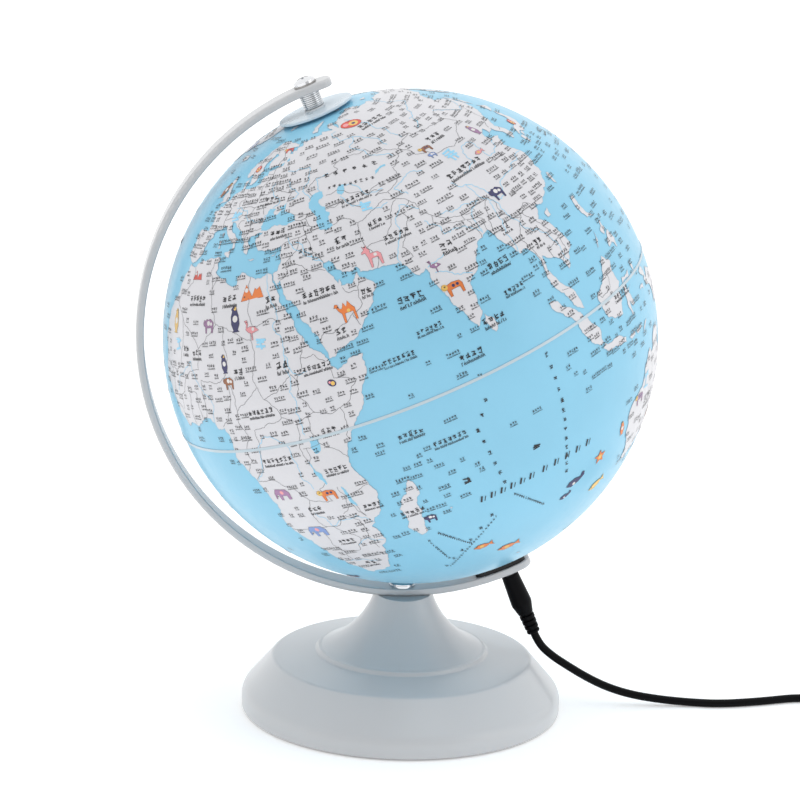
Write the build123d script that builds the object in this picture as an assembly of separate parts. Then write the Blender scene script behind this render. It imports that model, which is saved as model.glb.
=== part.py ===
from build123d import *
import os
from math import cos, pi, radians, sin, sqrt, tan

# Desktop globe with a lamp inside, held at both poles by a C-shaped arm on a bell-shaped base.
# Millimetres. The origin is the centre of the base's underside: +Z is up, +X points to the side
# that the south pole leans to, and the arm lies in the XZ plane.

# ---- driving dimensions ----
GLOBE_R = 125.0
GLOBE_WALL = 1.8
GLOBE_Z = 198.0
TAPE_THICK = 0.35
TAPE_HALF = 0.7
AXIS_TILT = 23.5

ARM_INNER_R = 133.8
ARM_OUTER_R = 137.8
ARM_SHIFT = 1.8              # how far the arm's centre lies north of the globe's, on the axis
ARM_WIDTH = 14.6
ARM_PAST_POLE = 5.4          # degrees of arm beyond each pole's hole
ARM_END_ROUND = 5.5
ARM_OUTER_ROUND = 1.7
ARM_INNER_ROUND = 0.7

BOLT_R = 2.5                 # M5
BOLT_HOLE_R = 2.75
NUT_FLATS = 8.0
NUT_HEIGHT = 4.0
LOCK_NUT_HEIGHT = 5.0
WASHER_THICK = 1.0
ARM_BOLT_HEAD = (6.3, 3.2)   # radius and height
ARM_BOLT_LENGTH = 20.0
ARM_BOLT_WASHER_R = 6.7
NUT_WASHER_R = 6.0
NORTH_HEAD = (5.5, 3.1)      # radius and height
NORTH_HEAD_RIM = 1.3
NORTH_WASHER_R = 5.8
NORTH_WASHER_THICK = 0.8
THRUST_WASHER_R = 5.5

NECK_TOP = 62.8
NECK_CEILING = 54.5
BAND_R = 82.4
BAND_TOP = 9.6
SHOULDER_R = 66.8
SHOULDER_Z = 28.0
LIP_R = 43.2
LIP_Z = 33.4
SHELL_WALL = 2.4
SHELL_RIM_Z = 1.0
FLARE_CENTRE = (59.4, 76.7)  # (r, z) of the concave flare's arc
FLARE_R = 46.7

PAD_R = 78.0
PAD_THICK = 1.6
PLATE_R = 79.6
PLATE_THICK = 2.2
WEIGHT_R = 61.0
WEIGHT_BORE_R = 18.0
WEIGHT_THICK = 8.0
BOSS_RING_R = 68.0
BOSS_R = 4.0
PLATE_SCREW_R = 1.5
PLATE_SCREW_LENGTH = 11.0
PLATE_SCREW_HEAD = (2.8, 1.3)  # radius and height
PLATE_SCREW_SINK = 1.4
PLATE_SCREW_HOLE_TOP = 16.0
RIB_RING_R = 53.0
RIB_SIZE = (14.0, 2.0, 30.0)

SPIN_GAP = 0.2               # axial play between what turns and what stands still
SHAFT_PLAY = 0.06            # radial play of both bearings
DISC_R = 19.3
DISC_TOP = 126.7
DISC_THICK = 1.5
DISC_SEAT_R = 12.0
HUB_END = 118.0
HUB_R = 8.8
BUSH_R = 4.5
SPACER_R = 5.25
SPACER_RIDGES = 8
RIDGE_DEPTH = 0.35

JOURNAL_R = 6.2
POST_R = 7.3
POST_BORE_R = 5.0
POST_SHOULDER = 127.0        # distances along an axis are from the globe's centre
POST_END = 104.0
POST_STEP = 0.4              # the post's foot stands on a low boss on the bracket
BRACKET_THICK = 2.2
BRACKET_WIDTH = 12.0
BRACKET_REACH = 7.1          # degrees of bracket on the arm, before the pole's hole
BRACKET_PAST_POLE = 4.5      # and beyond it
COLLAR_R = 12.0
COLLAR_FLANGE_R = 15.0
COLLAR_TIP_R = 9.2
COLLAR_LOW, COLLAR_FLANGE_TOP, COLLAR_TAPER = 120.2, 121.9, 124.0
BOARD_R = 13.0
BOARD_THICK = 1.6
LED_RING_R = 8.0
LED_COUNT = 6

JACK_R = 3.9
JACK_FLANGE_R = 5.2
JACK_FLANGE_THICK = 0.8
JACK_END = 126.0
JACK_PIN_R = 1.0
PLUG_BARREL_R = 2.75
PLUG_BARREL_END = 128.0
GRIP_LENGTH = 23.4
RELIEF_LENGTH = 11.4
RELIEF_RIBS = 4
LEAD_R = 0.6
LEAD_OFFSET = 1.8
LEAD_END = 122.0

CORD_D = 4.2
COIL_MEAN_R = 22.0
COIL_CENTRE = (254.0, 24.0)
COIL_STEPS = 4               # turns from the outermost to the innermost place in a layer
USB_GRIP = (11.0, 26.0, 7.6)
USB_SHELL = (12.0, 18.0, 4.5)
USB_SLEEVE_R = 3.0
USB_SLEEVE_LENGTH = 8.0

SOUTH = AXIS_TILT
NORTH = 180.0 + AXIS_TILT
ON_END = (Align.CENTER, Align.CENTER, Align.MIN)
GLOBE_CENTRE = Vector(0, 0, GLOBE_Z)


def spoke(angle, distance=0.0, centre=GLOBE_CENTRE):
    """Frame on the line that leaves a centre `angle` degrees from straight down, towards +X.
    Its z points outwards, and its origin is `distance` from the centre."""
    a = radians(angle)
    out = Vector(sin(a), 0, -cos(a))
    return Plane(origin=centre + out * distance, x_dir=(cos(a), 0, sin(a)), z_dir=out)


# The arm's own centre, and its faces on the axis as distances from the globe's centre.
ARM_CENTRE = spoke(NORTH, ARM_SHIFT).origin
NORTH_OUTER = ARM_OUTER_R + ARM_SHIFT
SOUTH_INNER = ARM_INNER_R - ARM_SHIFT
SOUTH_OUTER = ARM_OUTER_R - ARM_SHIFT


def turned(outline, rounds=()):
    """Solid turned about Z from closed (r, z) points; `rounds` lists (corner, radius)."""
    face = make_face(Polyline(*outline, close=True))
    for corner, radius in rounds:
        nearest = face.vertices().sort_by_distance(Vector(*corner))[0]
        face = fillet(nearest, radius)
    return revolve(Plane.XZ * face, Axis.Z)


def tube(outer_r, inner_r, low, high):
    """Plain ring about Z between two heights."""
    return turned([(inner_r, low), (outer_r, low), (outer_r, high), (inner_r, high)])


def rod(radius, low, high):
    """Plain cylinder about Z between two heights."""
    return Pos(0, 0, low) * Cylinder(radius, high - low, align=ON_END)


def hex_nut(flats, bore_r, low, high):
    """Hexagonal nut about Z."""
    prism = Pos(0, 0, low) * extrude(RegularPolygon(flats / 2, 6, major_radius=False), high - low)
    return prism - rod(bore_r, low - 1, high + 1)


def chord_distance(radius, half_width):
    """Distance from the centre at which a flat face meets a round surface at its edges."""
    return sqrt(radius ** 2 - half_width ** 2)


def truss_screw(head_r, head_height, shank_r, length, recess_span, rim=0.7):
    """Domed screw about Z with its seat at z = 0, its head above and its shank below."""
    rise = head_height - rim
    dome_r = (head_r ** 2 + rise ** 2) / (2 * rise)
    half_r = head_r / 2
    middle = (half_r, head_height - dome_r + sqrt(dome_r ** 2 - half_r ** 2))
    edges = [Line((0, -length), (shank_r, -length)), Line((shank_r, -length), (shank_r, 0)),
             Line((shank_r, 0), (head_r, 0)), Line((head_r, 0), (head_r, rim)),
             ThreePointArc((head_r, rim), middle, (0, head_height)),
             Line((0, head_height), (0, -length))]
    screw = revolve(Plane.XZ * make_face(edges), Axis.Z)
    depth = head_height * 0.55
    slot = Box(recess_span, 1.1, depth, align=(Align.CENTER, Align.CENTER, Align.MAX))
    cross = Pos(0, 0, head_height) * (slot + Rot(0, 0, 90) * slot)
    return screw - cross


# ---- base ----
def flare_point(r, inset=0.0):
    """Point of the flare's arc at radius r, `inset` inside its outer surface."""
    drop = sqrt((FLARE_R + inset) ** 2 - (FLARE_CENTRE[0] - r) ** 2)
    return (r, FLARE_CENTRE[1] - drop)


def flare_radius(z, inset=0.0):
    """Radius of the flare's arc at height z."""
    return FLARE_CENTRE[0] - sqrt((FLARE_R + inset) ** 2 - (FLARE_CENTRE[1] - z) ** 2)


def bell(corners, foot_r, top_z, inset, rounds):
    """Solid bell about Z: a flat top, the concave flare, then straight runs through corners."""
    top = (flare_radius(top_z, inset), top_z)
    foot = flare_point(foot_r, inset)
    middle = flare_point((top[0] + foot[0]) / 2, inset)
    run = [foot] + corners + [(0, corners[-1][1]), (0, top_z)]
    edges = [Line((0, top_z), top), ThreePointArc(top, middle, foot)]
    edges += [Line(a, b) for a, b in zip(run, run[1:])]
    face = make_face(edges)
    for corner, radius in rounds:
        nearest = face.vertices().sort_by_distance(Vector(*corner))[0]
        face = fillet(nearest, radius)
    return revolve(Plane.XZ * face, Axis.Z)


def base_outer():
    lip, lip_foot = (LIP_R, LIP_Z), (LIP_R + 1.2, LIP_Z - 2.2)
    rim, knee = (SHOULDER_R, SHOULDER_Z), (BAND_R, BAND_TOP)
    corners = [lip, lip_foot, rim, knee, (BAND_R, SHELL_RIM_Z)]
    rounds = [(lip, 0.9), (lip_foot, 1.4), (rim, 3.0), (knee, 9.0), (corners[-1], 0.8)]
    return bell(corners, LIP_R - 1.6, NECK_TOP, 0.0, rounds)


def base_cavity():
    wall = SHELL_WALL
    corners = [(LIP_R, LIP_Z - 4.6), (SHOULDER_R - 1.2, SHOULDER_Z - wall),
               (BAND_R - wall, BAND_TOP - 1.2), (BAND_R - wall, SHELL_RIM_Z - 1)]
    return bell(corners, LIP_R - 2.4, NECK_CEILING, wall, [])


def around_base(count, piece, first=45.0):
    """Copies of a piece spread evenly about Z."""
    return [Rot(0, 0, first + 360.0 / count * i) * piece for i in range(count)]


def base_shell():
    outer = base_outer()
    plate_top = PAD_THICK + PLATE_THICK
    boss = Pos(BOSS_RING_R, 0, 0) * rod(BOSS_R, plate_top, NECK_TOP)
    rib = Pos(RIB_RING_R, 0, plate_top + WEIGHT_THICK) * Box(*RIB_SIZE, align=ON_END)
    inside = around_base(4, boss) + around_base(4, rib, 0.0)
    shell = outer - base_cavity()
    for piece in inside:
        shell += piece & outer
    for hole in around_base(4, Pos(BOSS_RING_R, 0, 0) * rod(PLATE_SCREW_R, 0, PLATE_SCREW_HOLE_TOP)):
        shell -= hole
    shell -= Pos(ARM_CENTRE.X, 0, 0) * rod(BOLT_HOLE_R, NECK_CEILING - 5, NECK_TOP + 5)
    saddle = Pos(*ARM_CENTRE) * Rot(90, 0, 0) * Cylinder(ARM_OUTER_R, 60)
    return shell - saddle


def bottom_plate():
    plate = rod(PLATE_R, PAD_THICK, PAD_THICK + PLATE_THICK)
    for seat in around_base(4, Pos(BOSS_RING_R, 0, 0) * plate_screw_room()):
        plate -= seat
    return plate


def plate_screw_room():
    """Room for one screw: a sunk seat for its head and a clearance hole."""
    seat = rod(PLATE_SCREW_HEAD[0] + 0.3, PAD_THICK - 1, PAD_THICK + PLATE_SCREW_SINK)
    return seat + rod(PLATE_SCREW_R + 0.2, PAD_THICK, PAD_THICK + 4)


def plate_screws():
    screw = truss_screw(*PLATE_SCREW_HEAD, PLATE_SCREW_R - 0.05, PLATE_SCREW_LENGTH, 3.2)
    screw = Pos(0, 0, PAD_THICK + PLATE_SCREW_SINK) * Rot(180, 0, 0) * screw
    return around_base(4, Pos(BOSS_RING_R, 0, 0) * screw)


# ---- arm ----
def arm_strip(inner_r, outer_r, width, start, end, end_round):
    """Curved bar about the origin between two angles, with rounded ends."""
    half = width / 2
    corners = [(-half, -outer_r), (half, -outer_r), (half, -inner_r), (-half, -inner_r)]
    section = make_face(Polyline(*corners, close=True))
    bar = revolve(Plane.YZ * section, Axis.Y, end - start).rotate(Axis.Y, -end)
    reach = outer_r - inner_r
    straight = bar.edges().filter_by(GeomType.LINE)
    return fillet([edge for edge in straight if abs(edge.length - reach) < 0.01], end_round)


def skin_edges(bar, radius):
    """Edges round the bar's curved face of the given radius."""
    round_faces = bar.faces().filter_by(GeomType.CYLINDER)
    skins = [face for face in round_faces if abs(face.radius - radius) < 0.01]
    return skins[0].outer_wire().edges()


def meridian_arm():
    first = SOUTH + ARM_PAST_POLE
    last = NORTH - 360.0 - ARM_PAST_POLE
    bar = arm_strip(ARM_INNER_R, ARM_OUTER_R, ARM_WIDTH, last, first, ARM_END_ROUND)
    bar = fillet(skin_edges(bar, ARM_OUTER_R), ARM_OUTER_ROUND)
    bar = fillet(skin_edges(bar, ARM_INNER_R), ARM_INNER_ROUND)
    bar = Pos(*ARM_CENTRE) * bar
    for angle, radius in ((0.0, BOLT_HOLE_R), (NORTH, BOLT_HOLE_R), (SOUTH, JACK_R + 0.1)):
        bar -= spoke(angle, centre=ARM_CENTRE) * rod(radius, ARM_INNER_R - 5, ARM_OUTER_R + 5)
    return bar


ARM_BOLT_SEAT = chord_distance(ARM_INNER_R, ARM_BOLT_WASHER_R)


def arm_bolt_parts():
    """Bolt, washers and nut that clamp the arm to the neck, in place."""
    down = spoke(0.0, centre=ARM_CENTRE)
    head_seat = ARM_BOLT_SEAT - WASHER_THICK
    ceiling = ARM_CENTRE.Z - NECK_CEILING
    bolt = truss_screw(*ARM_BOLT_HEAD, BOLT_R, ARM_BOLT_LENGTH, 6.4)
    bolt = Pos(0, 0, head_seat) * Rot(180, 0, 0) * bolt
    nut_seat = ceiling + WASHER_THICK
    return {
        "arm_bolt": down * bolt,
        "arm_bolt_washer": down * tube(ARM_BOLT_WASHER_R, BOLT_R + 0.15, head_seat, ARM_BOLT_SEAT),
        "arm_bolt_nut_washer": down * tube(NUT_WASHER_R, BOLT_R + 0.15, ceiling, nut_seat),
        "arm_bolt_nut": down * hex_nut(NUT_FLATS, BOLT_R, nut_seat, nut_seat + NUT_HEIGHT),
    }


# ---- globe ----
def hemisphere(hole_r):
    """Half shell above the plane z = 0, open at its pole."""
    inner = GLOBE_R - GLOBE_WALL
    shell = Sphere(GLOBE_R) - Sphere(inner)
    keep = rod(GLOBE_R + 5, 0, GLOBE_R + 5) - rod(hole_r, 0, GLOBE_R + 6)
    return shell & keep


def on_sphere(radius, r):
    """Point (r, z) of a sphere's section."""
    return (r, sqrt(radius ** 2 - r ** 2))


def sphere_arc(radius, r_start, r_end):
    """Arc of a sphere's section between two distances from the axis."""
    middle = on_sphere(radius, (r_start + r_end) / 2)
    return ThreePointArc(on_sphere(radius, r_start), middle, on_sphere(radius, r_end))


def north_disc():
    """Flat disc seated on the shell round the north pole, with a hub through it for the bush."""
    seat, under = GLOBE_R + 0.02, DISC_TOP - DISC_THICK
    hub_seat, seat_rim = on_sphere(seat, HUB_R), on_sphere(seat, DISC_SEAT_R)
    run = [seat_rim, (DISC_SEAT_R, under), (DISC_R, under), (DISC_R, DISC_TOP), (BUSH_R, DISC_TOP),
           (BUSH_R, HUB_END), (HUB_R, HUB_END), hub_seat]
    edges = [Line(a, b) for a, b in zip(run, run[1:])]
    face = make_face(edges + [sphere_arc(seat, HUB_R, DISC_SEAT_R)])
    for corner in ((DISC_R, under), (DISC_R, DISC_TOP)):
        face = fillet(face.vertices().sort_by_distance(Vector(*corner))[0], 0.5)
    return revolve(Plane.XZ * face, Axis.Z)


def north_spacer(low, high):
    """Ridged sleeve about Z that holds the arm off the disc."""
    bore, pitch = BOLT_R + 0.1, (high - low) / SPACER_RIDGES
    outline = [(bore, high), (bore, low)]
    for i in range(SPACER_RIDGES):
        start = low + pitch * i
        outline += [(SPACER_R - RIDGE_DEPTH, start), (SPACER_R, start + 0.3 * pitch),
                    (SPACER_R, start + 0.7 * pitch)]
    return turned(outline + [(SPACER_R - RIDGE_DEPTH, high)])


def north_parts():
    """Everything on the axis at the north pole, in place: what turns and what stands still."""
    flange_top = DISC_TOP + 0.8
    bush_end = HUB_END - 0.4
    spacer_top = chord_distance(ARM_INNER_R, SPACER_R) + ARM_SHIFT
    bore = BOLT_R + SHAFT_PLAY
    up = spoke(NORTH)
    bush = tube(BUSH_R, bore, bush_end, DISC_TOP) + tube(SPACER_R, bore, DISC_TOP, flange_top)
    thrust_top = bush_end - SPIN_GAP
    thrust_low = thrust_top - WASHER_THICK
    head_seat = NORTH_OUTER + NORTH_WASHER_THICK
    bolt_length = head_seat - thrust_low + LOCK_NUT_HEIGHT + 1.5
    bolt = truss_screw(*NORTH_HEAD, BOLT_R, bolt_length, 5.6, NORTH_HEAD_RIM)
    return {
        "north_disc": up * north_disc(),
        "north_bush": up * bush,
        "north_spacer": up * north_spacer(flange_top + SPIN_GAP, spacer_top),
        "north_bolt_washer": up * tube(NORTH_WASHER_R, BOLT_R + 0.15, NORTH_OUTER, head_seat),
        "north_bolt": up * Pos(0, 0, head_seat) * bolt,
        "north_thrust_washer": up * tube(THRUST_WASHER_R, BOLT_R + 0.1, thrust_low, thrust_top),
        "north_lock_nut": up * hex_nut(NUT_FLATS, BOLT_R, thrust_low - LOCK_NUT_HEIGHT, thrust_low),
    }


def south_collar():
    """Bearing ring glued in the globe's south hole; it turns on the lamp post's journal."""
    bore = JOURNAL_R + SHAFT_PLAY
    high = POST_SHOULDER - SPIN_GAP
    outline = [(bore, COLLAR_LOW), (COLLAR_FLANGE_R, COLLAR_LOW), (COLLAR_FLANGE_R, COLLAR_FLANGE_TOP),
               (COLLAR_R, COLLAR_FLANGE_TOP), (COLLAR_R, COLLAR_TAPER), (COLLAR_TIP_R, high),
               (bore, high)]
    return turned(outline)


def globe_parts():
    up = spoke(NORTH)
    flip = Rot(180, 0, 0)
    inner = GLOBE_R - GLOBE_WALL
    return {
        "globe_north_shell": up * hemisphere(HUB_R),
        "globe_south_shell": up * flip * hemisphere(COLLAR_R),
        "globe_joint_ring": up * tube(inner - 0.1, inner - 1.7, -4.0, 4.0),
        "equator_tape": up * tube(GLOBE_R + TAPE_THICK, GLOBE_R, -TAPE_HALF, TAPE_HALF),
        "south_collar": spoke(SOUTH) * south_collar(),
    }


# ---- lamp ----
def lamp_bracket():
    """Thin black plate that follows the arm's inner face under the lamp post."""
    low = ARM_INNER_R - BRACKET_THICK
    start, end = SOUTH - BRACKET_REACH, SOUTH + BRACKET_PAST_POLE
    plate = Pos(*ARM_CENTRE) * arm_strip(low, ARM_INNER_R, BRACKET_WIDTH, start, end, 3.5)
    out = spoke(SOUTH, centre=ARM_CENTRE)
    plate += out * rod(POST_R - 1.8, low - POST_STEP, ARM_INNER_R - 0.5)
    return plate - out * rod(JACK_R + 0.1, ARM_INNER_R - 8, ARM_OUTER_R)


def lamp_diffuser(board_low):
    """Frosted cup over the light board: a ring round the board and a thin dome."""
    wall = 1.5
    inner_r, outer_r = BOARD_R + 0.1, BOARD_R + 0.1 + wall
    lid, dome_z = POST_END + 1.2, board_low - 6
    ring = turned([(inner_r, board_low), (outer_r, dome_z), (outer_r, lid),
                   (JOURNAL_R, lid), (JOURNAL_R, POST_END), (inner_r, POST_END)])
    crown, crown_inside = (0, dome_z - 13.4), (0, dome_z - 13.4 + wall)
    edges = [ThreePointArc((outer_r, dome_z), (10.6, dome_z - 9.6), crown),
             Line(crown, crown_inside),
             ThreePointArc(crown_inside, (9.6, dome_z - 8.4), (inner_r, dome_z + 0.5)),
             Line((inner_r, dome_z + 0.5), (inner_r, board_low)),
             Line((inner_r, board_low), (outer_r, dome_z))]
    return ring + revolve(Plane.XZ * make_face(edges), Axis.Z)


def dc_jack():
    """Barrel socket through the arm, with two solder tabs towards the globe."""
    mouth = SOUTH_OUTER + JACK_FLANGE_THICK
    jack = rod(JACK_R, JACK_END, SOUTH_OUTER) + rod(JACK_FLANGE_R, SOUTH_OUTER, mouth)
    jack -= tube(PLUG_BARREL_R + 0.1, JACK_PIN_R, PLUG_BARREL_END - 0.6, mouth + 1)
    jack -= rod(JACK_PIN_R, SOUTH_OUTER - 0.4, mouth + 1)
    tab = Pos(0, 0, LEAD_END) * Box(0.6, 2.0, JACK_END - LEAD_END, align=ON_END)
    return jack + [Pos(side, 0, 0) * tab for side in (-LEAD_OFFSET, LEAD_OFFSET)]


def lamp_parts():
    """Lamp post, light board, jack and leads on the axis at the south pole, in place."""
    out = spoke(SOUTH)
    post_foot = SOUTH_INNER - BRACKET_THICK - POST_STEP
    post = tube(JOURNAL_R, POST_BORE_R, POST_END, POST_SHOULDER)
    post += tube(POST_R, POST_BORE_R, POST_SHOULDER, post_foot)
    board_low = POST_END - BOARD_THICK
    board = rod(BOARD_R, board_low, POST_END)
    for side in (-LEAD_OFFSET, LEAD_OFFSET):
        board -= Pos(side, 0, 0) * rod(LEAD_R, board_low - 1, POST_END + 1)
    led = Box(3.5, 3.5, 1.4, align=(Align.CENTER, Align.CENTER, Align.MAX))
    ring_spot = Pos(LED_RING_R, 0, board_low)
    leds = [Rot(0, 0, 360.0 / LED_COUNT * i) * ring_spot * led for i in range(LED_COUNT)]
    lead = rod(LEAD_R, board_low, LEAD_END)
    leads = [Pos(side, 0, 0) * lead for side in (-LEAD_OFFSET, LEAD_OFFSET)]
    return {
        "lamp_bracket": lamp_bracket(),
        "lamp_post": out * post,
        "led_board": out * board,
        "leds": [out * piece for piece in leds],
        "lamp_diffuser": out * lamp_diffuser(board_low),
        "dc_jack": out * dc_jack(),
        "dc_jack_nut": out * hex_nut(8.6, JACK_R, post_foot - 2.0, post_foot),
        "lamp_leads": [out * piece for piece in leads],
    }


# ---- cord ----
def axis_point(distance):
    """Point on the axis beyond the south pole."""
    return spoke(SOUTH, distance).origin


PLUG_START = SOUTH_OUTER + JACK_FLANGE_THICK + 0.1
PLUG_END = PLUG_START + GRIP_LENGTH + RELIEF_LENGTH


def dc_plug_grip():
    """Moulded grip and ribbed strain relief, in one piece, about Z."""
    start, neck = PLUG_START, PLUG_START + GRIP_LENGTH
    swell, chamfer = (5.45, start + 17.4), (4.5, start + 1.1)
    outline = [(0, start), (4.0, start), chamfer, swell, (3.9, neck)]
    pitch, core = RELIEF_LENGTH / RELIEF_RIBS, 2.8
    for i in range(RELIEF_RIBS):
        low, rib = neck + pitch * i, 3.9 - 0.15 * i
        outline += [(core, low + 0.1), (core, low + 0.9), (rib, low + 1.2), (rib, low + pitch)]
    rib_low, rib_end = outline[-2:]
    return turned(outline + [(0, PLUG_END)], [(swell, 6.0), (rib_low, 0.7), (rib_end, 0.8)])


# The cord's route: down from the plug, along the floor and into the coil.
FLOOR_Z = CORD_D / 2
COIL_OUTER_R = COIL_MEAN_R + COIL_STEPS * CORD_D / 2
CORD_START = axis_point(PLUG_END)
CORD_ROUTE = [
    (CORD_START.X, 0.0, CORD_START.Z),
    (71.2, 0.0, 34.3),
    (78.0, 0.0, 27.9),
    (86.5, 0.0, 22.2),
    (97.0, 0.0, 15.7),
    (108.5, 0.0, 10.0),
    (122.0, 0.0, 5.8),
    (138.0, 0.0, 3.2),
    (153.0, -1.0, FLOOR_Z),
    (168.0, -3.2, FLOOR_Z),
    (190.0, 0.6, FLOOR_Z),
    (213.0, 7.4, FLOOR_Z),
    (233.0, -0.8, FLOOR_Z),
    (COIL_CENTRE[0], COIL_CENTRE[1] - COIL_OUTER_R, FLOOR_Z),
]
COIL_TOP_Z = FLOOR_Z + CORD_D
TAIL_X = COIL_CENTRE[0] + COIL_OUTER_R
USB_Y = COIL_CENTRE[1] + 62.0
USB_Z = USB_GRIP[2] / 2
TAIL_ROUTE = [
    (TAIL_X, COIL_CENTRE[1], COIL_TOP_Z),
    (TAIL_X + 1.0, COIL_CENTRE[1] + 22.0, 5.6),
    (TAIL_X + 0.4, COIL_CENTRE[1] + 42.0, USB_Z),
    (TAIL_X + 1.2, USB_Y, USB_Z),
]


def cord_tube(route, name):
    """Round cord along straight runs joined by tangent arcs, as large as the runs allow."""
    points = [Vector(*p) for p in route]
    radii = []
    for before, here, after in zip(points, points[1:], points[2:]):
        turn = radians((here - before).get_angle(after - here))
        run = min((here - before).length, (after - here).length)
        radii.append(0.45 * run / tan(turn / 2))
    path = FilletPolyline(*points, radius=radii)
    start = Plane(origin=points[0], z_dir=points[1] - points[0])
    solid = sweep(start * Circle(CORD_D / 2), path=path)
    expected = pi * (CORD_D / 2) ** 2 * path.length
    print(name, "length", round(path.length, 1), "volume ratio", round(solid.volume / expected, 4))
    print(name, "radii", [round(r, 1) for r in radii])
    return solid


def coil_solid():
    """Outer shape of the wound turns, two layers high."""
    half = COIL_STEPS * CORD_D / 2 + CORD_D / 2
    low, high = COIL_MEAN_R - half, COIL_MEAN_R + half
    outline = [(low, 0), (high, 0), (high, 2 * CORD_D), (low, 2 * CORD_D)]
    rounds = [(point, CORD_D / 2 - 0.1) for point in outline]
    return Pos(*COIL_CENTRE, 0) * turned(outline, rounds)


def cord_tie():
    """Strap round the coil's bundle of turns, on the side away from the base."""
    half = COIL_STEPS * CORD_D / 2 + CORD_D / 2
    height = 2 * CORD_D
    tie = Box(2 * half + 1.2, 7.0, height + 0.6, align=ON_END)
    hole = Pos(0, 0, 0.5) * Box(2 * half, 9.0, height - 0.5, align=ON_END)
    ring = fillet(tie.edges().filter_by(Axis.Y), 1.6) - hole
    return Pos(*COIL_CENTRE, 0) * Rot(0, 0, -45) * Pos(COIL_MEAN_R, 0, 0) * ring


def usb_parts():
    """Plug on the cord's far end, lying on the floor and pointing along +Y."""
    width, length, height = USB_GRIP
    shell_w, shell_l, shell_h = USB_SHELL
    sheet, tongue_h = 0.35, 1.9
    centre = Pos(TAIL_ROUTE[-1][0], USB_Y, USB_Z)
    grip = Pos(0, length / 2, 0) * Box(width, length, height)
    grip = fillet(grip.edges().filter_by(Axis.Y), 2.2)
    sleeve = Rot(90, 0, 0) * rod(USB_SLEEVE_R, 0, USB_SLEEVE_LENGTH)
    cord_room = Rot(90, 0, 0) * rod(CORD_D / 2, 0, USB_SLEEVE_LENGTH)
    mouth = Pos(0, length + shell_l / 2, 0)
    inside = Box(shell_w - 2 * sheet, shell_l + 1, shell_h - 2 * sheet)
    shell = mouth * (Box(shell_w, shell_l, shell_h) - inside)
    for side in (-2.6, 2.6):
        shell -= Pos(side, length + 11.0, 0) * Box(2.2, 2.4, 10)
    tongue = Pos(0, length + 8.0, -tongue_h / 2) * Box(shell_w - 0.8, 16.0, tongue_h)
    return {
        "usb_plug_grip": centre * (grip + sleeve - cord_room),
        "usb_plug_shell": centre * shell,
        "usb_plug_tongue": centre * tongue,
    }


def build():
    """Every node by name."""
    plate_top = PAD_THICK + PLATE_THICK
    nodes = {
        "base_shell": base_shell(),
        "bottom_plate": bottom_plate(),
        "plate_screws": plate_screws(),
        "base_weight": tube(WEIGHT_R, WEIGHT_BORE_R, plate_top, plate_top + WEIGHT_THICK),
        "foot_pad": rod(PAD_R, 0, PAD_THICK),
        "meridian_arm": meridian_arm(),
    }
    nodes.update(arm_bolt_parts())
    nodes.update(globe_parts())
    nodes.update(north_parts())
    nodes.update(lamp_parts())
    nodes["dc_plug_grip"] = spoke(SOUTH) * dc_plug_grip()
    barrel = tube(PLUG_BARREL_R, JACK_PIN_R + 0.1, PLUG_BARREL_END, PLUG_START)
    nodes["dc_plug_barrel"] = spoke(SOUTH) * barrel
    nodes["cord_run"] = cord_tube(CORD_ROUTE, "cord_run")
    nodes["cord_coil"] = coil_solid()
    nodes["cord_tie"] = cord_tie()
    nodes["cord_tail"] = cord_tube(TAIL_ROUTE, "cord_tail")
    nodes.update(usb_parts())
    return nodes


os.makedirs("parts", exist_ok=True)
for node, shape in build().items():
    pieces = shape if isinstance(shape, list) else [shape]
    solids = [solid for piece in pieces for solid in piece.solids()]
    export_step(Compound(children=solids) if len(solids) > 1 else solids[0], f"parts/{node}.step")
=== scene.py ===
"""Looks of a desktop globe with a lamp inside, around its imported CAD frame. Metres, +Z up."""
import random
from math import ceil, cos, pi, radians, sin

import bpy
from mathutils import Matrix, Vector, geometry


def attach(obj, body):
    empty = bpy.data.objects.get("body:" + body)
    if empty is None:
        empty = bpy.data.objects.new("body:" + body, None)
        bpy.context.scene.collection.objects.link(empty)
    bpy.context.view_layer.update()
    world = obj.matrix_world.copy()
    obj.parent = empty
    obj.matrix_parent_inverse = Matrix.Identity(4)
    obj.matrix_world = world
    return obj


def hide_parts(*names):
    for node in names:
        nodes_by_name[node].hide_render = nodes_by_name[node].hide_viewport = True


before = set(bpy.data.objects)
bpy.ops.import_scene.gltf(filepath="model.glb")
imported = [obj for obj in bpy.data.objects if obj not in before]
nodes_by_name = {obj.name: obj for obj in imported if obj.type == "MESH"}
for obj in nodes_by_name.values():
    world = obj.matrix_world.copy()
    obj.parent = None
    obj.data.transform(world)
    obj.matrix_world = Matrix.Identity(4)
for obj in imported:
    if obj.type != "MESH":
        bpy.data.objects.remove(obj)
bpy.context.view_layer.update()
scene = bpy.context.scene
scene.view_settings.view_transform = "Standard"

# ---- the object's places, repeated from the CAD ----
GLOBE_R = 0.125
CENTRE = Vector((0.0, 0.0, 0.198))
TILT = radians(23.5)
NORTH_AXIS = Vector((-sin(TILT), 0.0, cos(TILT)))
SOUTH_AXIS = -NORTH_AXIS
FRONT_AXIS = Vector((0.0, -1.0, 0.0))
EAST_AXIS = NORTH_AXIS.cross(FRONT_AXIS)
FRONT_LONGITUDE = 61.4       # the meridian that faces -Y at rest


# ---- camera ----
CAMERA_PLACE = (-0.1488, -1.7535, 0.6288)
CAMERA_LENS = 161.1


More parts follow.
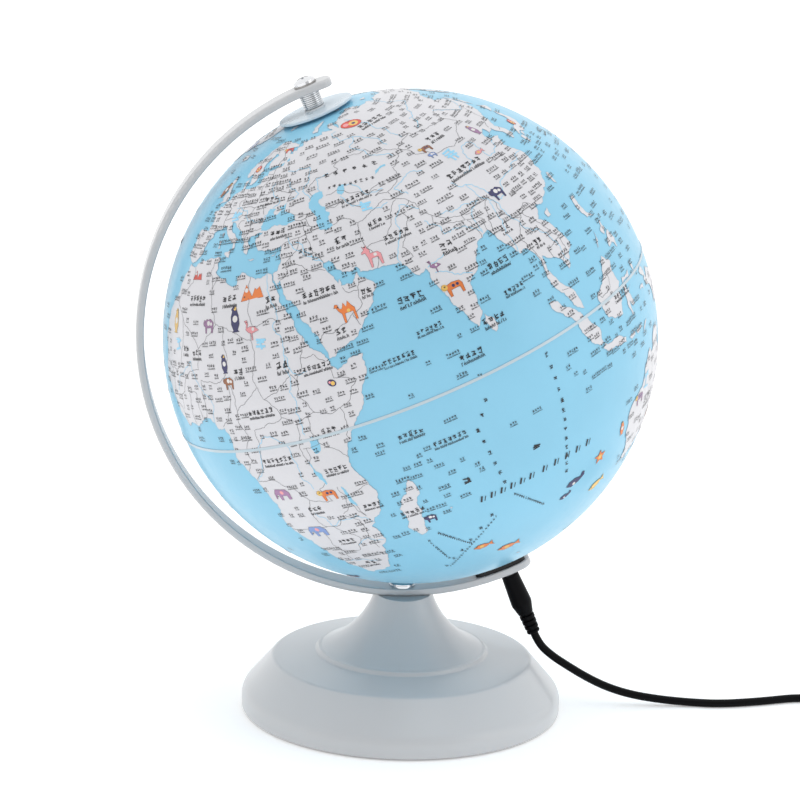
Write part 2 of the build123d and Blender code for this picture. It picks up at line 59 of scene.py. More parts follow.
def make_camera():
    yaw, pitch, roll = radians(4.71), radians(14.78), radians(1.52)
    forward = Vector((sin(yaw) * cos(pitch), cos(yaw) * cos(pitch), -sin(pitch)))
    level = Vector((cos(yaw), -sin(yaw), 0.0))
    upright = level.cross(forward)
    right = level * cos(roll) + upright * sin(roll)
    up = upright * cos(roll) - level * sin(roll)
    data = bpy.data.cameras.new("camera")
    data.lens = CAMERA_LENS
    data.sensor_width = 36.0
    data.clip_end = 50.0
    camera = bpy.data.objects.new("camera", data)
    turn = Matrix((right, up, -forward)).transposed().to_4x4()
    camera.matrix_world = Matrix.Translation(CAMERA_PLACE) @ turn
    scene.collection.objects.link(camera)
    scene.camera = camera


# ---- node materials ----
class Paint:
    """A node material, with short calls for the patterns that the pieces share."""

    def __init__(self, name):
        self.material = bpy.data.materials.new(name)
        self.material.use_nodes = True
        self.tree = self.material.node_tree
        self.shader = self.tree.nodes["Principled BSDF"]
        self.place = self.tree.nodes.new("ShaderNodeTexCoord").outputs["Object"]

    def node(self, kind, **inputs):
        made = self.tree.nodes.new(kind)
        for key, value in inputs.items():
            socket = made.inputs[key.replace("_", " ")]
            if isinstance(value, bpy.types.NodeSocket):
                self.tree.links.new(value, socket)
            else:
                socket.default_value = value
        return made

    def noise(self, scale, detail=3.0, stretch=None):
        place = self.place
        if stretch:
            place = self.node("ShaderNodeMapping", Vector=place, Scale=stretch).outputs["Vector"]
        return self.node("ShaderNodeTexNoise", Vector=place, Scale=scale, Detail=detail).outputs["Fac"]

    def ramp(self, factor, stops):
        ramp = self.node("ShaderNodeValToRGB", Fac=factor)
        elements = ramp.color_ramp.elements
        while len(elements) < len(stops):
            elements.new(0.5)
        for element, (position, colour) in zip(elements, stops):
            element.position = position
            element.color = (*colour, 1.0)
        return ramp.outputs["Color"]

    def between(self, factor, low, high, start=0.3, end=0.7):
        made = self.node("ShaderNodeMapRange", Value=factor)
        made.inputs["From Min"].default_value = start
        made.inputs["From Max"].default_value = end
        made.inputs["To Min"].default_value = low
        made.inputs["To Max"].default_value = high
        return made.outputs["Result"]

    def bump(self, height, distance, strength=1.0):
        made = self.node("ShaderNodeBump", Height=height, Distance=distance, Strength=strength)
        self.link(made.outputs["Normal"], "Normal")

    def link(self, output, socket):
        self.tree.links.new(output, self.shader.inputs[socket])

    def tint(self, factor, colour, low, high, start=0.3, end=0.7):
        """Base colour that goes from `low` to `high` times `colour`."""
        stops = [(start, shade(colour, low)), (end, shade(colour, high))]
        self.link(self.ramp(factor, stops), "Base Color")

    def fixed(self, **values):
        for key, value in values.items():
            self.shader.inputs[key.replace("_", " ")].default_value = value


def shade(colour, factor):
    return tuple(min(1.0, c * factor) for c in colour)


def plastic(name, colour, roughness, grain=900.0, shine=0.5):
    """Moulded plastic: faint cloudiness, a fine moulded grain and uneven gloss."""
    paint = Paint(name)
    cloud = paint.noise(14.0, 4.0)
    paint.tint(cloud, colour, 0.94, 1.06, 0.25, 0.75)
    fine = paint.noise(grain, 2.0)
    paint.link(paint.between(fine, roughness * 0.85, roughness * 1.15), "Roughness")
    paint.bump(fine, 0.00003, 0.5)
    paint.fixed(Specular_IOR_Level=shine)
    return paint.material


def metal(name, colour, roughness, stretch=(1.0, 1.0, 12.0), vary=0.08):
    """Plated or turned metal with fine marks along one direction."""
    paint = Paint(name)
    marks = paint.noise(700.0, 3.0, stretch)
    paint.tint(marks, colour, 1 - vary, 1.0)
    paint.link(paint.between(marks, roughness * 0.7, roughness * 1.4), "Roughness")
    paint.bump(marks, 0.00001, 0.4)
    paint.fixed(Metallic=1.0)
    return paint.material


# ---- meshes ----
def make_mesh(name, vertices, faces, material, body, slot, smooth=True):
    mesh = bpy.data.meshes.new(name)
    mesh.from_pydata([tuple(v) for v in vertices], [], faces)
    mesh.update()
    if smooth:
        mesh.polygons.foreach_set("use_smooth", [True] * len(mesh.polygons))
    piece = bpy.data.objects.new(name, mesh)
    scene.collection.objects.link(piece)
    finish_piece(piece, material, body, slot)
    return piece


def finish_piece(piece, material, body, slot):
    piece.data.materials.append(material)
    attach(piece, body)


def repaint(node, material):
    """Gives a CAD node its finished material."""
    data = nodes_by_name[node].data
    data.materials.clear()
    data.materials.append(material)


make_camera()

# ---- cord: the CAD route's points, then the turns of the coil, which the CAD leaves as one ring ----
CORD_D = 0.0042
FLOOR_Z = CORD_D / 2
TOP_Z = FLOOR_Z + CORD_D
PLUG_END = 0.1717
COIL_X, COIL_Y = 0.254, 0.024
COIL_OUTER_R = 0.0304
COIL_INNER_R = 0.0136
COIL_STEPS = 4
COIL_TURNS = 9.25
TAIL_X = COIL_X + COIL_OUTER_R
COIL_POINTS = 20             # route points in each turn
USB_Z = 0.0038
USB_Y = COIL_Y + 0.062


def axis_point(distance):
    """Point on the globe's axis beyond the south pole."""
    return CENTRE + SOUTH_AXIS * distance


def coil_points():
    """Wound turns: inwards along the floor, up one layer in a turn, and outwards on top."""
    spread = 1 / cos(pi / COIL_POINTS)
    climb_end = COIL_STEPS + 1.0
    points = []
    for i in range(1, round(COIL_TURNS * COIL_POINTS)):
        turn = i / COIL_POINTS
        if turn < COIL_STEPS:
            radius, height = COIL_OUTER_R - CORD_D * turn, FLOOR_Z
        elif turn < climb_end:
            climb = turn - COIL_STEPS
            radius = COIL_INNER_R + CORD_D * (1 - climb - cos(pi / 2 * climb))
            height = FLOOR_Z + CORD_D * sin(pi / 2 * climb)
        else:
            share = (turn - climb_end) / (COIL_TURNS - climb_end)
            radius, height = COIL_INNER_R + (COIL_OUTER_R - COIL_INNER_R) * share, TOP_Z
        angle = 2 * pi * turn - pi / 2
        reach = radius * spread
        points.append((COIL_X + reach * cos(angle), COIL_Y + reach * sin(angle), height))
    return points


def make_cord():
    route = [
        tuple(axis_point(PLUG_END)),
        (0.0712, 0.0, 0.0343),
        (0.0780, 0.0, 0.0279),
        (0.0865, 0.0, 0.0222),
        (0.0970, 0.0, 0.0157),
        (0.1085, 0.0, 0.0100),
        (0.1220, 0.0, 0.0058),
        (0.1380, 0.0, 0.0032),
        (0.1530, -0.0010, FLOOR_Z),
        (0.1680, -0.0032, FLOOR_Z),
        (0.1900, 0.0006, FLOOR_Z),
        (0.2130, 0.0074, FLOOR_Z),
        (0.2330, -0.0008, FLOOR_Z),
        (COIL_X, COIL_Y - COIL_OUTER_R, FLOOR_Z),
    ]
    route += coil_points()
    route += [
        (TAIL_X, COIL_Y, TOP_Z),
        (TAIL_X + 0.0010, COIL_Y + 0.022, 0.0056),
        (TAIL_X + 0.0004, COIL_Y + 0.042, USB_Z),
        (TAIL_X + 0.0012, USB_Y, USB_Z),
    ]
    curve = bpy.data.curves.new("power_cord", "CURVE")
    curve.dimensions = "3D"
    spline = curve.splines.new("NURBS")
    spline.points.add(len(route) - 1)
    for point, place in zip(spline.points, route):
        point.co = (*place, 1.0)
    spline.order_u = 3
    spline.use_endpoint_u = True
    spline.resolution_u = 6
    curve.bevel_depth = CORD_D / 2
    curve.bevel_resolution = 5
    curve.use_fill_caps = True
    cord = bpy.data.objects.new("power_cord", curve)
    scene.collection.objects.link(cord)
    pvc_skin = plastic("cord_black", (0.0025, 0.0025, 0.003), 0.42, 1500.0, 0.09)
    finish_piece(cord, pvc_skin, "stand", "cord_pvc")
    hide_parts("cord_run", "cord_coil", "cord_tail")


make_cord()


# ---- stage: floor, world and lights ----
WORLD_SIDE = 1.16            # the studio's brightness all round and above
WORLD_FRONT = 0.62           # and on the camera's side
CAMERA_SIDE = (-0.08, -0.97, 0.22)
FLOOR_HALF = 4.0
FLOOR_TONES = ((0.3, (0.965, 0.965, 0.965)), (0.7, (0.975, 0.975, 0.975)))
WHITE = (1.0, 1.0, 1.0, 1.0)


def make_stage():
    corners = [(x * FLOOR_HALF, y * FLOOR_HALF, 0) for x, y in ((-1, -1), (1, -1), (1, 1), (-1, 1))]
    mesh = bpy.data.meshes.new("floor")
    mesh.from_pydata(corners, [], [(0, 1, 2, 3)])
    floor = bpy.data.objects.new("floor", mesh)
    scene.collection.objects.link(floor)
    paint = Paint("floor_pale")
    paint.link(paint.ramp(paint.noise(3.0), FLOOR_TONES), "Base Color")
    paint.fixed(Roughness=0.9, Specular_IOR_Level=0.1, Emission_Color=WHITE, Emission_Strength=0.22)
    mesh.materials.append(paint.material)
    make_world()


def make_world():
    """White studio that is dimmer towards the side the camera stands on."""
    world = bpy.data.worlds.new("studio")
    scene.world = world
    world.use_nodes = True
    nodes, links = world.node_tree.nodes, world.node_tree.links
    place = nodes.new("ShaderNodeTexCoord")
    ahead = nodes.new("ShaderNodeVectorMath")
    ahead.operation = "DOT_PRODUCT"
    ahead.inputs[1].default_value = CAMERA_SIDE
    level = nodes.new("ShaderNodeMapRange")
    level.interpolation_type = "SMOOTHSTEP"
    level.inputs["From Min"].default_value = 0.15
    level.inputs["From Max"].default_value = 0.92
    level.inputs["To Min"].default_value = WORLD_SIDE
    level.inputs["To Max"].default_value = WORLD_FRONT
    links.new(place.outputs["Generated"], ahead.inputs[0])
    links.new(ahead.outputs["Value"], level.inputs["Value"])
    links.new(level.outputs["Result"], nodes["Background"].inputs["Strength"])
    nodes["Background"].inputs["Color"].default_value = WHITE


def area_light(name, place, target, size, power, colour=(1.0, 1.0, 1.0)):
    data = bpy.data.lights.new(name, "AREA")
    data.shape = "DISK"
    data.size = size
    data.energy = power
    data.color = colour
    light = bpy.data.objects.new(name, data)
    light.location = place
    light.rotation_euler = (Vector(target) - Vector(place)).to_track_quat("-Z", "Y").to_euler()
    scene.collection.objects.link(light)


make_stage()
area_light("top_softbox", (0.3, -0.5, 1.9), (0, 0, 0.15), 1.2, 4.0)
area_light("right_softbox", (1.7, -0.9, 0.8), (0, 0, 0.2), 1.0, 2.0)


# ---- places on the printed globe ----
NORTH_STRETCH, SOUTH_STRETCH = 7.6, 9.5   # how far the print moves middle latitudes, in degrees
ROW_SHARE = 0.87             # row spacing of the filling points, as a share of their spacing
TINY = 1e-9


def unit(longitude, latitude):
    """Direction from the globe's centre to a place. The printed map is stretched towards the poles."""
    stretch = NORTH_STRETCH if latitude > 0 else SOUTH_STRETCH
    up = radians(latitude + stretch * sin(radians(2 * latitude)))
    side = radians(longitude - FRONT_LONGITUDE)
    return (FRONT_AXIS * cos(side) + EAST_AXIS * sin(side)) * cos(up) + NORTH_AXIS * sin(up)


def pairs(text):
    values = [float(word) for word in text.split()]
    return list(zip(values[::2], values[1::2]))


class Chart:
    """Flat chart of the sphere round a direction, true in distance and bearing from its middle."""

    def __init__(self, middle):
        self.middle = middle.normalized()
        self.x = self.middle.orthogonal().normalized()
        self.y = self.middle.cross(self.x)

    def flat(self, direction):
        side = direction - self.middle * direction.dot(self.middle)
        if side.length < TINY:
            return Vector((0.0, 0.0))
        side = side.normalized() * direction.angle(self.middle)
        return Vector((side.dot(self.x), side.dot(self.y)))

    def round(self, point):
        angle = point.length
        if angle < TINY:
            return self.middle.copy()
        side = (self.x * point.x + self.y * point.y) / angle
        return self.middle * cos(angle) + side * sin(angle)


def bends(start, end, rng, shortest, sway):
    """Points after `start` up to `end`, with small uneven bends between them."""
    step = end - start
    if step.length < shortest:
        return [end]
    middle = (start + end) / 2 + Vector((-step.y, step.x)) * rng.uniform(-sway, sway)
    return bends(start, middle, rng, shortest, sway) + bends(middle, end, rng, shortest, sway)


def rough(points, rng, shortest, sway):
    line = [points[0]]
    for start, end in zip(points, points[1:]):
        line += bends(start, end, rng, shortest, sway)
    return line


def inside(point, ring):
    """Whether a flat point lies within a closed ring."""
    found = False
    for a, b in zip(ring, ring[1:] + ring[:1]):
        if (a.y > point.y) != (b.y > point.y):
            if point.x < a.x + (b.x - a.x) * (point.y - a.y) / (b.y - a.y):
                found = not found
    return found


def filled(ring, step, hole=()):
    """Flat points and triangles that fill a closed ring, but for the closed ring `hole`."""
    low = Vector((min(p.x for p in ring), min(p.y for p in ring)))
    high = Vector((max(p.x for p in ring), max(p.y for p in ring)))
    inner = []
    for row in range(1, ceil((high.y - low.y) / (step * ROW_SHARE))):
        shift = 0.5 * (row % 2)
        for column in range(ceil((high.x - low.x) / step) + 1):
            point = low + Vector(((column + shift) * step, row * step * ROW_SHARE))
            if inside(point, ring):
                inner.append(point)
    count, cut = len(ring), len(hole)
    outlines = [list(range(count)), list(range(count, count + cut))] if cut else [list(range(count))]
    made = geometry.delaunay_2d_cdt(ring + list(hole) + inner, [], outlines, 1, 1e-7)
    points, faces = made[0], made[2]
    if cut:
        middles = [sum((points[i] for i in face), Vector((0, 0))) / 3 for face in faces]
        faces = [face for face, middle in zip(faces, middles) if not inside(middle, hole)]
    return points, faces


class Print:
    """Flat shapes gathered into one mesh a little above the globe's surface."""

    def __init__(self, name, height, material, slot="globe_plastic"):
        self.name, self.radius, self.material, self.slot = name, GLOBE_R + height, material, slot
        self.points, self.faces = [], []

    def add(self, directions, faces):
        first = len(self.points)
        self.points += [CENTRE + d * self.radius for d in directions]
        self.faces += [tuple(first + i for i in face) for face in faces]

    def fill(self, chart, ring, step=0.045, hole=()):
        points, faces = filled(ring, step, hole)
        directions = [chart.round(p) for p in points]
        self.add(directions, [outward(directions, face) for face in faces])

    def ribbon(self, chart, line, width):
        """Narrow strip along a flat line; its width is in metres on the globe."""
        half = width / 2 / GLOBE_R
        edges = []
        for i, point in enumerate(line):
            ahead = line[min(i + 1, len(line) - 1)] - line[max(i - 1, 0)]
            side = Vector((-ahead.y, ahead.x)).normalized() * half
            edges += [chart.round(point - side), chart.round(point + side)]
        faces = [(i, i + 2, i + 3, i + 1) for i in range(0, len(edges) - 2, 2)]
        self.add(edges, [outward(edges, face) for face in faces])

    def stroke(self, place, start, end, width):
        """Straight mark between two points of a place's own flat frame."""
        ahead = end - start
        side = Vector((-ahead.y, ahead.x)).normalized() * (width / 2)
        corners = (start - side, end - side, end + side, start + side)
        self.add([place.at(corner) for corner in corners], [(0, 1, 2, 3)])

    def make(self):
        return make_mesh(self.name, self.points, self.faces, self.material, "globe", self.slot)


def outward(directions, face):
    """The face with its corners in the order that makes it face away from the globe."""
    a, b, c = (directions[i] for i in face[:3])
    return tuple(face) if (b - a).cross(c - a).dot(a) > 0 else tuple(reversed(face))


class Place:
    """Flat frame on the globe: x to the east and y to the north, turned and sized, in metres."""

    def __init__(self, longitude, latitude, size=1.0, turn=0.0):
        self.out = unit(longitude, latitude)
        east = NORTH_AXIS.cross(self.out).normalized()
        north = self.out.cross(east)
        angle = radians(turn)
        self.x = east * cos(angle) + north * sin(angle)
        self.y = north * cos(angle) - east * sin(angle)
        self.size = size

    def at(self, point):
        flat = (self.x * point.x + self.y * point.y) * (self.size / GLOBE_R)
        return (self.out + flat).normalized()


# ---- the printed map: outlines as "longitude latitude" pairs in degrees, east and north positive ----
LAND = {
    "africa": (
        "-5.9 35.8 -2 35.2 1 36.5 5 36.8 8.5 37 10.2 37.2 11 37 10.3 35.8 10.9 34.8 10.1 33.9 11.2 33.2 "
        "15.2 32.4 15.5 31.4 18 30.4 19.9 30.5 20.1 32.2 21.6 32.9 23.1 32.6 25 31.6 29 30.9 31 31.5 "
        "32.4 31.1 32.5 29.9 33.6 27.9 35.5 24 35.6 23 37.2 21 37.3 19.2 38.5 18 39.5 15.6 41.3 14.6 "
        "43.1 12.7 43.2 11.5 44.5 10.4 47 11.1 51.2 11.9 51 10.4 50 8 48 4.5 46 2.4 43.5 0.3 41.6 -1.8 "
        "40.2 -2.6 39.3 -4.7 38.8 -6.5 39.5 -8 40.5 -10.7 40.6 -14.5 39.8 -16.4 37 -17.8 34.8 -19.8 "
        "35.5 -22 35.4 -24 32.9 -25.6 32.8 -27 31.3 -29.4 28.5 -32.7 25.7 -33.9 22 -34.2 20 -34.8 18.4 "
        "-34.1 18.2 -32 16.5 -28.7 15.2 -26.6 14.4 -22.5 12.9 -19.5 11.8 -16.8 12.5 -13.5 13.7 -11 13 "
        "-8.7 12.2 -6 11 -3.9 9.3 -2.2 9 -0.8 9.6 1 9.8 3.2 8.8 4.5 6.5 4.3 4.5 6.3 1.5 6.2 -2 4.8 -4.5 "
        "5.2 -7.6 4.4 -9.3 5.5 -11.4 6.8 -13.2 8.9 -15 10.9 -16.8 12.4 -17.4 14.7 -16.4 16.2 -16.1 19 "
        "-17 21 -16 23.7 -14.5 26.2 -12.9 27.9 -9.8 29.8 -9.7 31.5 -8.5 33.3 -6.8 34.1"),
    "eurasia": (
        "-5.6 36 -8.9 37 -9.5 38.7 -8.8 41 -9.2 43 -8 43.7 -4 43.5 -1.8 43.4 -1.2 45.5 -2.5 47.3 -4.7 "
        "48 -1.6 48.7 -1.8 49.7 0.2 49.6 1.6 50.9 3.5 51.4 4.7 53 7 53.6 8.7 54 8.2 56.8 10.6 57.7 10.2 "
        "56.3 10.8 54.4 14 54.2 16.5 54.5 18.8 54.6 21 55.3 21.2 57 22.6 57.7 24.3 57.2 23.6 59 28 59.5 "
        "30 60 28 60.5 23 59.9 21.5 61 21.3 62.8 25.3 65 22 65.8 21.4 64.5 17.5 62.3 17.2 60.6 18.8 "
        "59.8 16.6 58 16 56.2 14.3 55.5 12.7 55.6 11.8 57.8 10.6 59.3 8 58 5.6 58.9 5 61 7 62.9 10.5 "
        "64.3 13 66 15.5 68.3 19 69.8 25.5 71 31 70.3 33 69.4 41 67.5 40.5 66.4 33 66.6 35 64.3 37.5 "
        "63.9 37 65 40 64.7 40 66 44 66 44 68.3 46.5 68 46 66.9 53.5 68.3 60 68.3 60.7 69.8 65 69 68.5 "
        "68.3 67 70 67 72 69.5 73 72.5 72.7 72 70.5 74 68 73.8 71.5 75.5 72.3 80.5 73.5 87 75.1 98 76.2 "
        "104 77.7 113 76 113 74 107 73.2 114 73.6 123.5 73 128 73.4 129.5 71 134 71.5 140 72.5 150 71.6 "
        "160 69.8 170 70 180 68.9 185 67.3 190 66 187 64.4 182 65.5 179 62.5 170 60 164 60 163 58 162.2 "
        "55 160 53.3 156.7 51 155.6 54 156 57 161.5 60.3 163.5 62 160 61.7 156.6 61.5 151 59.2 142.5 "
        "59.2 135.4 54.8 138.5 53.9 141.2 53 140.5 50 140.3 48 136 44.5 132.5 43.2 130.8 42.3 129.7 "
        "40.9 127.4 39.3 129.3 37 129.4 35.4 126.5 34.4 126.5 37 124.9 38.2 124.8 39.7 121.3 38.9 121.8 "
        "40.8 118 39.1 118.8 37.9 120.8 37.8 122.5 37.3 119.3 35 121.8 31.8 121.8 29.8 119.7 25.7 117 "
        "23.6 113.5 22.2 110.4 21.2 108 21.6 105.8 19.2 108.8 15.3 109.3 12 107 10.4 105 8.7 104.9 10.2 "
        "102.6 12.1 100.8 12.8 100.1 13.4 99.4 10.5 100.4 8.3 102.3 6.2 103.4 4.2 103.8 1.4 101.3 3 "
        "100.3 5.8 98.4 8.2 98.7 11.5 97.6 16 95.3 15.8 94.3 17.8 92.3 20.8 91.5 22.6 89 21.8 87 21.4 "
        "85.5 19.8 82.3 16.7 80.2 15.5 80.2 13.2 79.8 10.3 77.5 8.1 76.3 10 74.8 13 73.3 17 72.8 20.5 "
        "72.4 21.5 70.3 20.8 69 22.4 67 24.7 62 25.1 57.2 25.8 56.5 27.1 54.5 26.6 51.5 27.9 50 30.2 "
        "48.2 30 48 29.2 50.2 26.7 50.8 25.2 51.4 26 51.4 24.6 54 24.2 56.2 26.1 56.4 24.9 58.7 23.6 "
        "59.8 22.4 57.7 19.7 55.2 17.6 52.2 15.7 48 14 45 12.8 43.5 12.8 42.8 15.5 42.5 16.7 40.7 19.7 "
        "39 21.5 38.5 23.6 35.2 28.1 34.9 29.4 34.2 27.8 32.8 29.9 32.8 31 34.4 31.5 35.9 35.5 36.1 "
        "36.8 32.5 36.1 30.5 36.5 27.5 36.9 26.4 38.5 26.2 40 28.9 40.9 26 40.8 23.7 40.6 22.7 39.8 24 "
        "38.2 22.9 36.6 21.4 37.3 21 38.8 19.4 40.8 19.4 42 15.6 43.7 13.6 45.1 12.4 45.2 12.6 44 13.8 "
        "42.8 16.1 41.7 18.5 40.2 17 40.4 17.1 38.9 15.7 38 15.9 39.9 14.2 40.7 12.2 41.8 10.4 43.2 9 "
        "44.4 7.5 43.8 4.5 43.4 3.1 43 3.2 41.8 0.8 40.9 -0.3 39.4 0 38.7 -0.8 37.6 -2.3 36.8"),
    "north_america": (
        "-168 65.7 -163.5 66.6 -166.5 68.3 -156.5 71.3 -141 69.6 -135 69 -128 70 -124.5 70 -115 68.2 "
        "-108 67.9 -101 67.8 -95 68.5 -94 71.8 -91 69.6 -88 68 -85.5 69.7 -81.5 68.5 -86 66.3 -91 63 "
        "-94.5 60.8 -94.7 58.7 -92.5 57 -88 56.5 -82.3 55.2 -82.2 53 -80 51.3 -78.8 52.5 -79.5 54.7 "
        "-76.6 57 -78.5 59 -77.5 62.5 -73.7 62.4 -69.5 61 -69.5 59 -66 58.8 -64.5 60.3 -61.8 57 -57.2 "
        "54.6 -55.7 52.3 -60 50.2 -66.5 50.2 -69.5 48 -65.3 49.2 -64.5 47 -65 46 -61.5 45.8 -64 44.7 "
        "-66 43.6 -65 45.3 -67 44.8 -70.3 43.7 -70.5 41.8 -73.9 40.7 -75.5 38 -76 36.9 -75.6 35.2 -78 "
        "33.9 -81.2 31.6 -80.1 27 -80.5 25.3 -81.8 26 -82.7 28 -84 30 -86.5 30.4 -89.5 30.2 -90 29.1 "
        "-94 29.6 -97.2 27.8 -97.8 22.5 -96 19.2 -94.3 18.2 -91.8 18.6 -90.4 20.8 -87 21.5 -87.6 18.5 "
        "-88.8 15.9 -84.5 15.8 -83.3 14.5 -83.7 11 -82 9 -79.6 9.5 -77.4 8.5 -77.9 7.4 -80 7.4 -81.8 "
        "8.1 -83.6 8.6 -85.7 10 -87.6 12.9 -91.5 14 -94.5 16.2 -98 16.3 -102 18 -105.4 20 -106 22.8 "
        "-109.3 25.8 -112.5 30 -114.8 31.6 -113.5 29.2 -111 25.5 -109.5 23 -112.2 25 -115 28.3 -117 "
        "32.5 -120.6 34.5 -122.4 37.3 -124.3 40.4 -124 44 -124.6 48.3 -122.8 49 -127.5 51 -130.3 54.5 "
        "-134 58 -139.5 59.8 -146 60.8 -151.5 60 -154 58.5 -161.5 55.3 -164.8 54.7 -159 57.8 -162 59 "
        "-165.5 61.5 -161 64.4 -166 64.6"),
    "south_america": (
        "-77.4 8.6 -75.5 10.7 -71.7 12.3 -71.5 11 -70 12 -68 10.8 -62 10.7 -60 8.5 -57 6 -51.5 4.3 -50 "
        "1 -48.5 -1 -44.5 -2.8 -40 -2.9 -37.2 -4.8 -35 -6 -35 -9 -38.8 -13.2 -39.2 -17.5 -41 -22 -45 "
        "-23.4 -48.5 -26 -48.7 -28.5 -52.2 -32.5 -54.9 -34.9 -58.2 -34 -56.8 -36.4 -62 -39 -65 -41 "
        "-63.6 -42.6 -67.4 -46 -65.8 -47.8 -69 -51 -68.3 -53 -65.2 -54.8 -70 -55.2 -74 -52.8 -75.5 -48 "
        "-73.5 -41.8 -73.4 -37.5 -71.5 -32.5 -70.5 -25 -70.2 -19 -75 -15.5 -79.5 -8 -81.2 -5.8 -80 -2.5 "
        "-80.8 -1 -78.8 1.3 -77.3 4 -77.8 7.3"),
    "australia": (
        "113.7 -22.5 114.2 -21.8 116.8 -20.7 119 -20 121 -19.5 122.2 -18 122.9 -16.5 125 -15 126.8 "
        "-13.9 128.3 -14.9 129.7 -14.9 130.8 -12.4 132.6 -11.3 135.5 -12 136.9 -12.3 135.6 -15 139.2 "
        "-17.5 140.9 -17.4 141.6 -14.5 141.8 -12.5 142.5 -10.8 143.6 -14.3 145.3 -15 146.3 -18.9 148.8 "
        "-20.4 150.8 -23.3 153 -25.3 153.5 -28.2 152.5 -32.3 150.8 -34.8 150 -37.3 147 -38 145 -38 "
        "143.5 -38.8 140.6 -38 139.6 -36.2 138.2 -35.5 138 -33.2 136 -34.8 134.2 -32.7 131.2 -31.5 128 "
        "-32 124 -33 123.5 -33.9 120 -33.9 118 -35 115.1 -34.3 115.7 -32 114.9 -29.3 113.4 -26.2 113.8 "
        "-24.5"),
    "antarctica": (
        "170 -72 164 -78.5 200 -78.5 210 -77.3 223 -75 240 -74 257 -75 270 -73 285 -73.5 292 -70 293 "
        "-66.5 300 -63.3 303 -63.3 298 -66 299 -70 298 -75 285 -78.5 300 -81 320 -78 332 -76.5 342 -73 "
        "350 -71 5 -70 20 -70 35 -69 45 -67.8 55 -66 65 -67.5 72 -70 78 -68.5 90 -66.7 105 -66.2 120 "
        "-67 135 -66.2 145 -67 155 -69 163 -70.5"),
    "greenland": (
        "-73 78.2 -66 80.8 -45 82.4 -30 83.5 -20 81 -19 76 -22 72 -26 70.2 -32 68 -40 65 -43.5 60 -48.5 "
        "61 -53.5 66 -51 69.5 -56 74 -66 76 -70 77"),
}
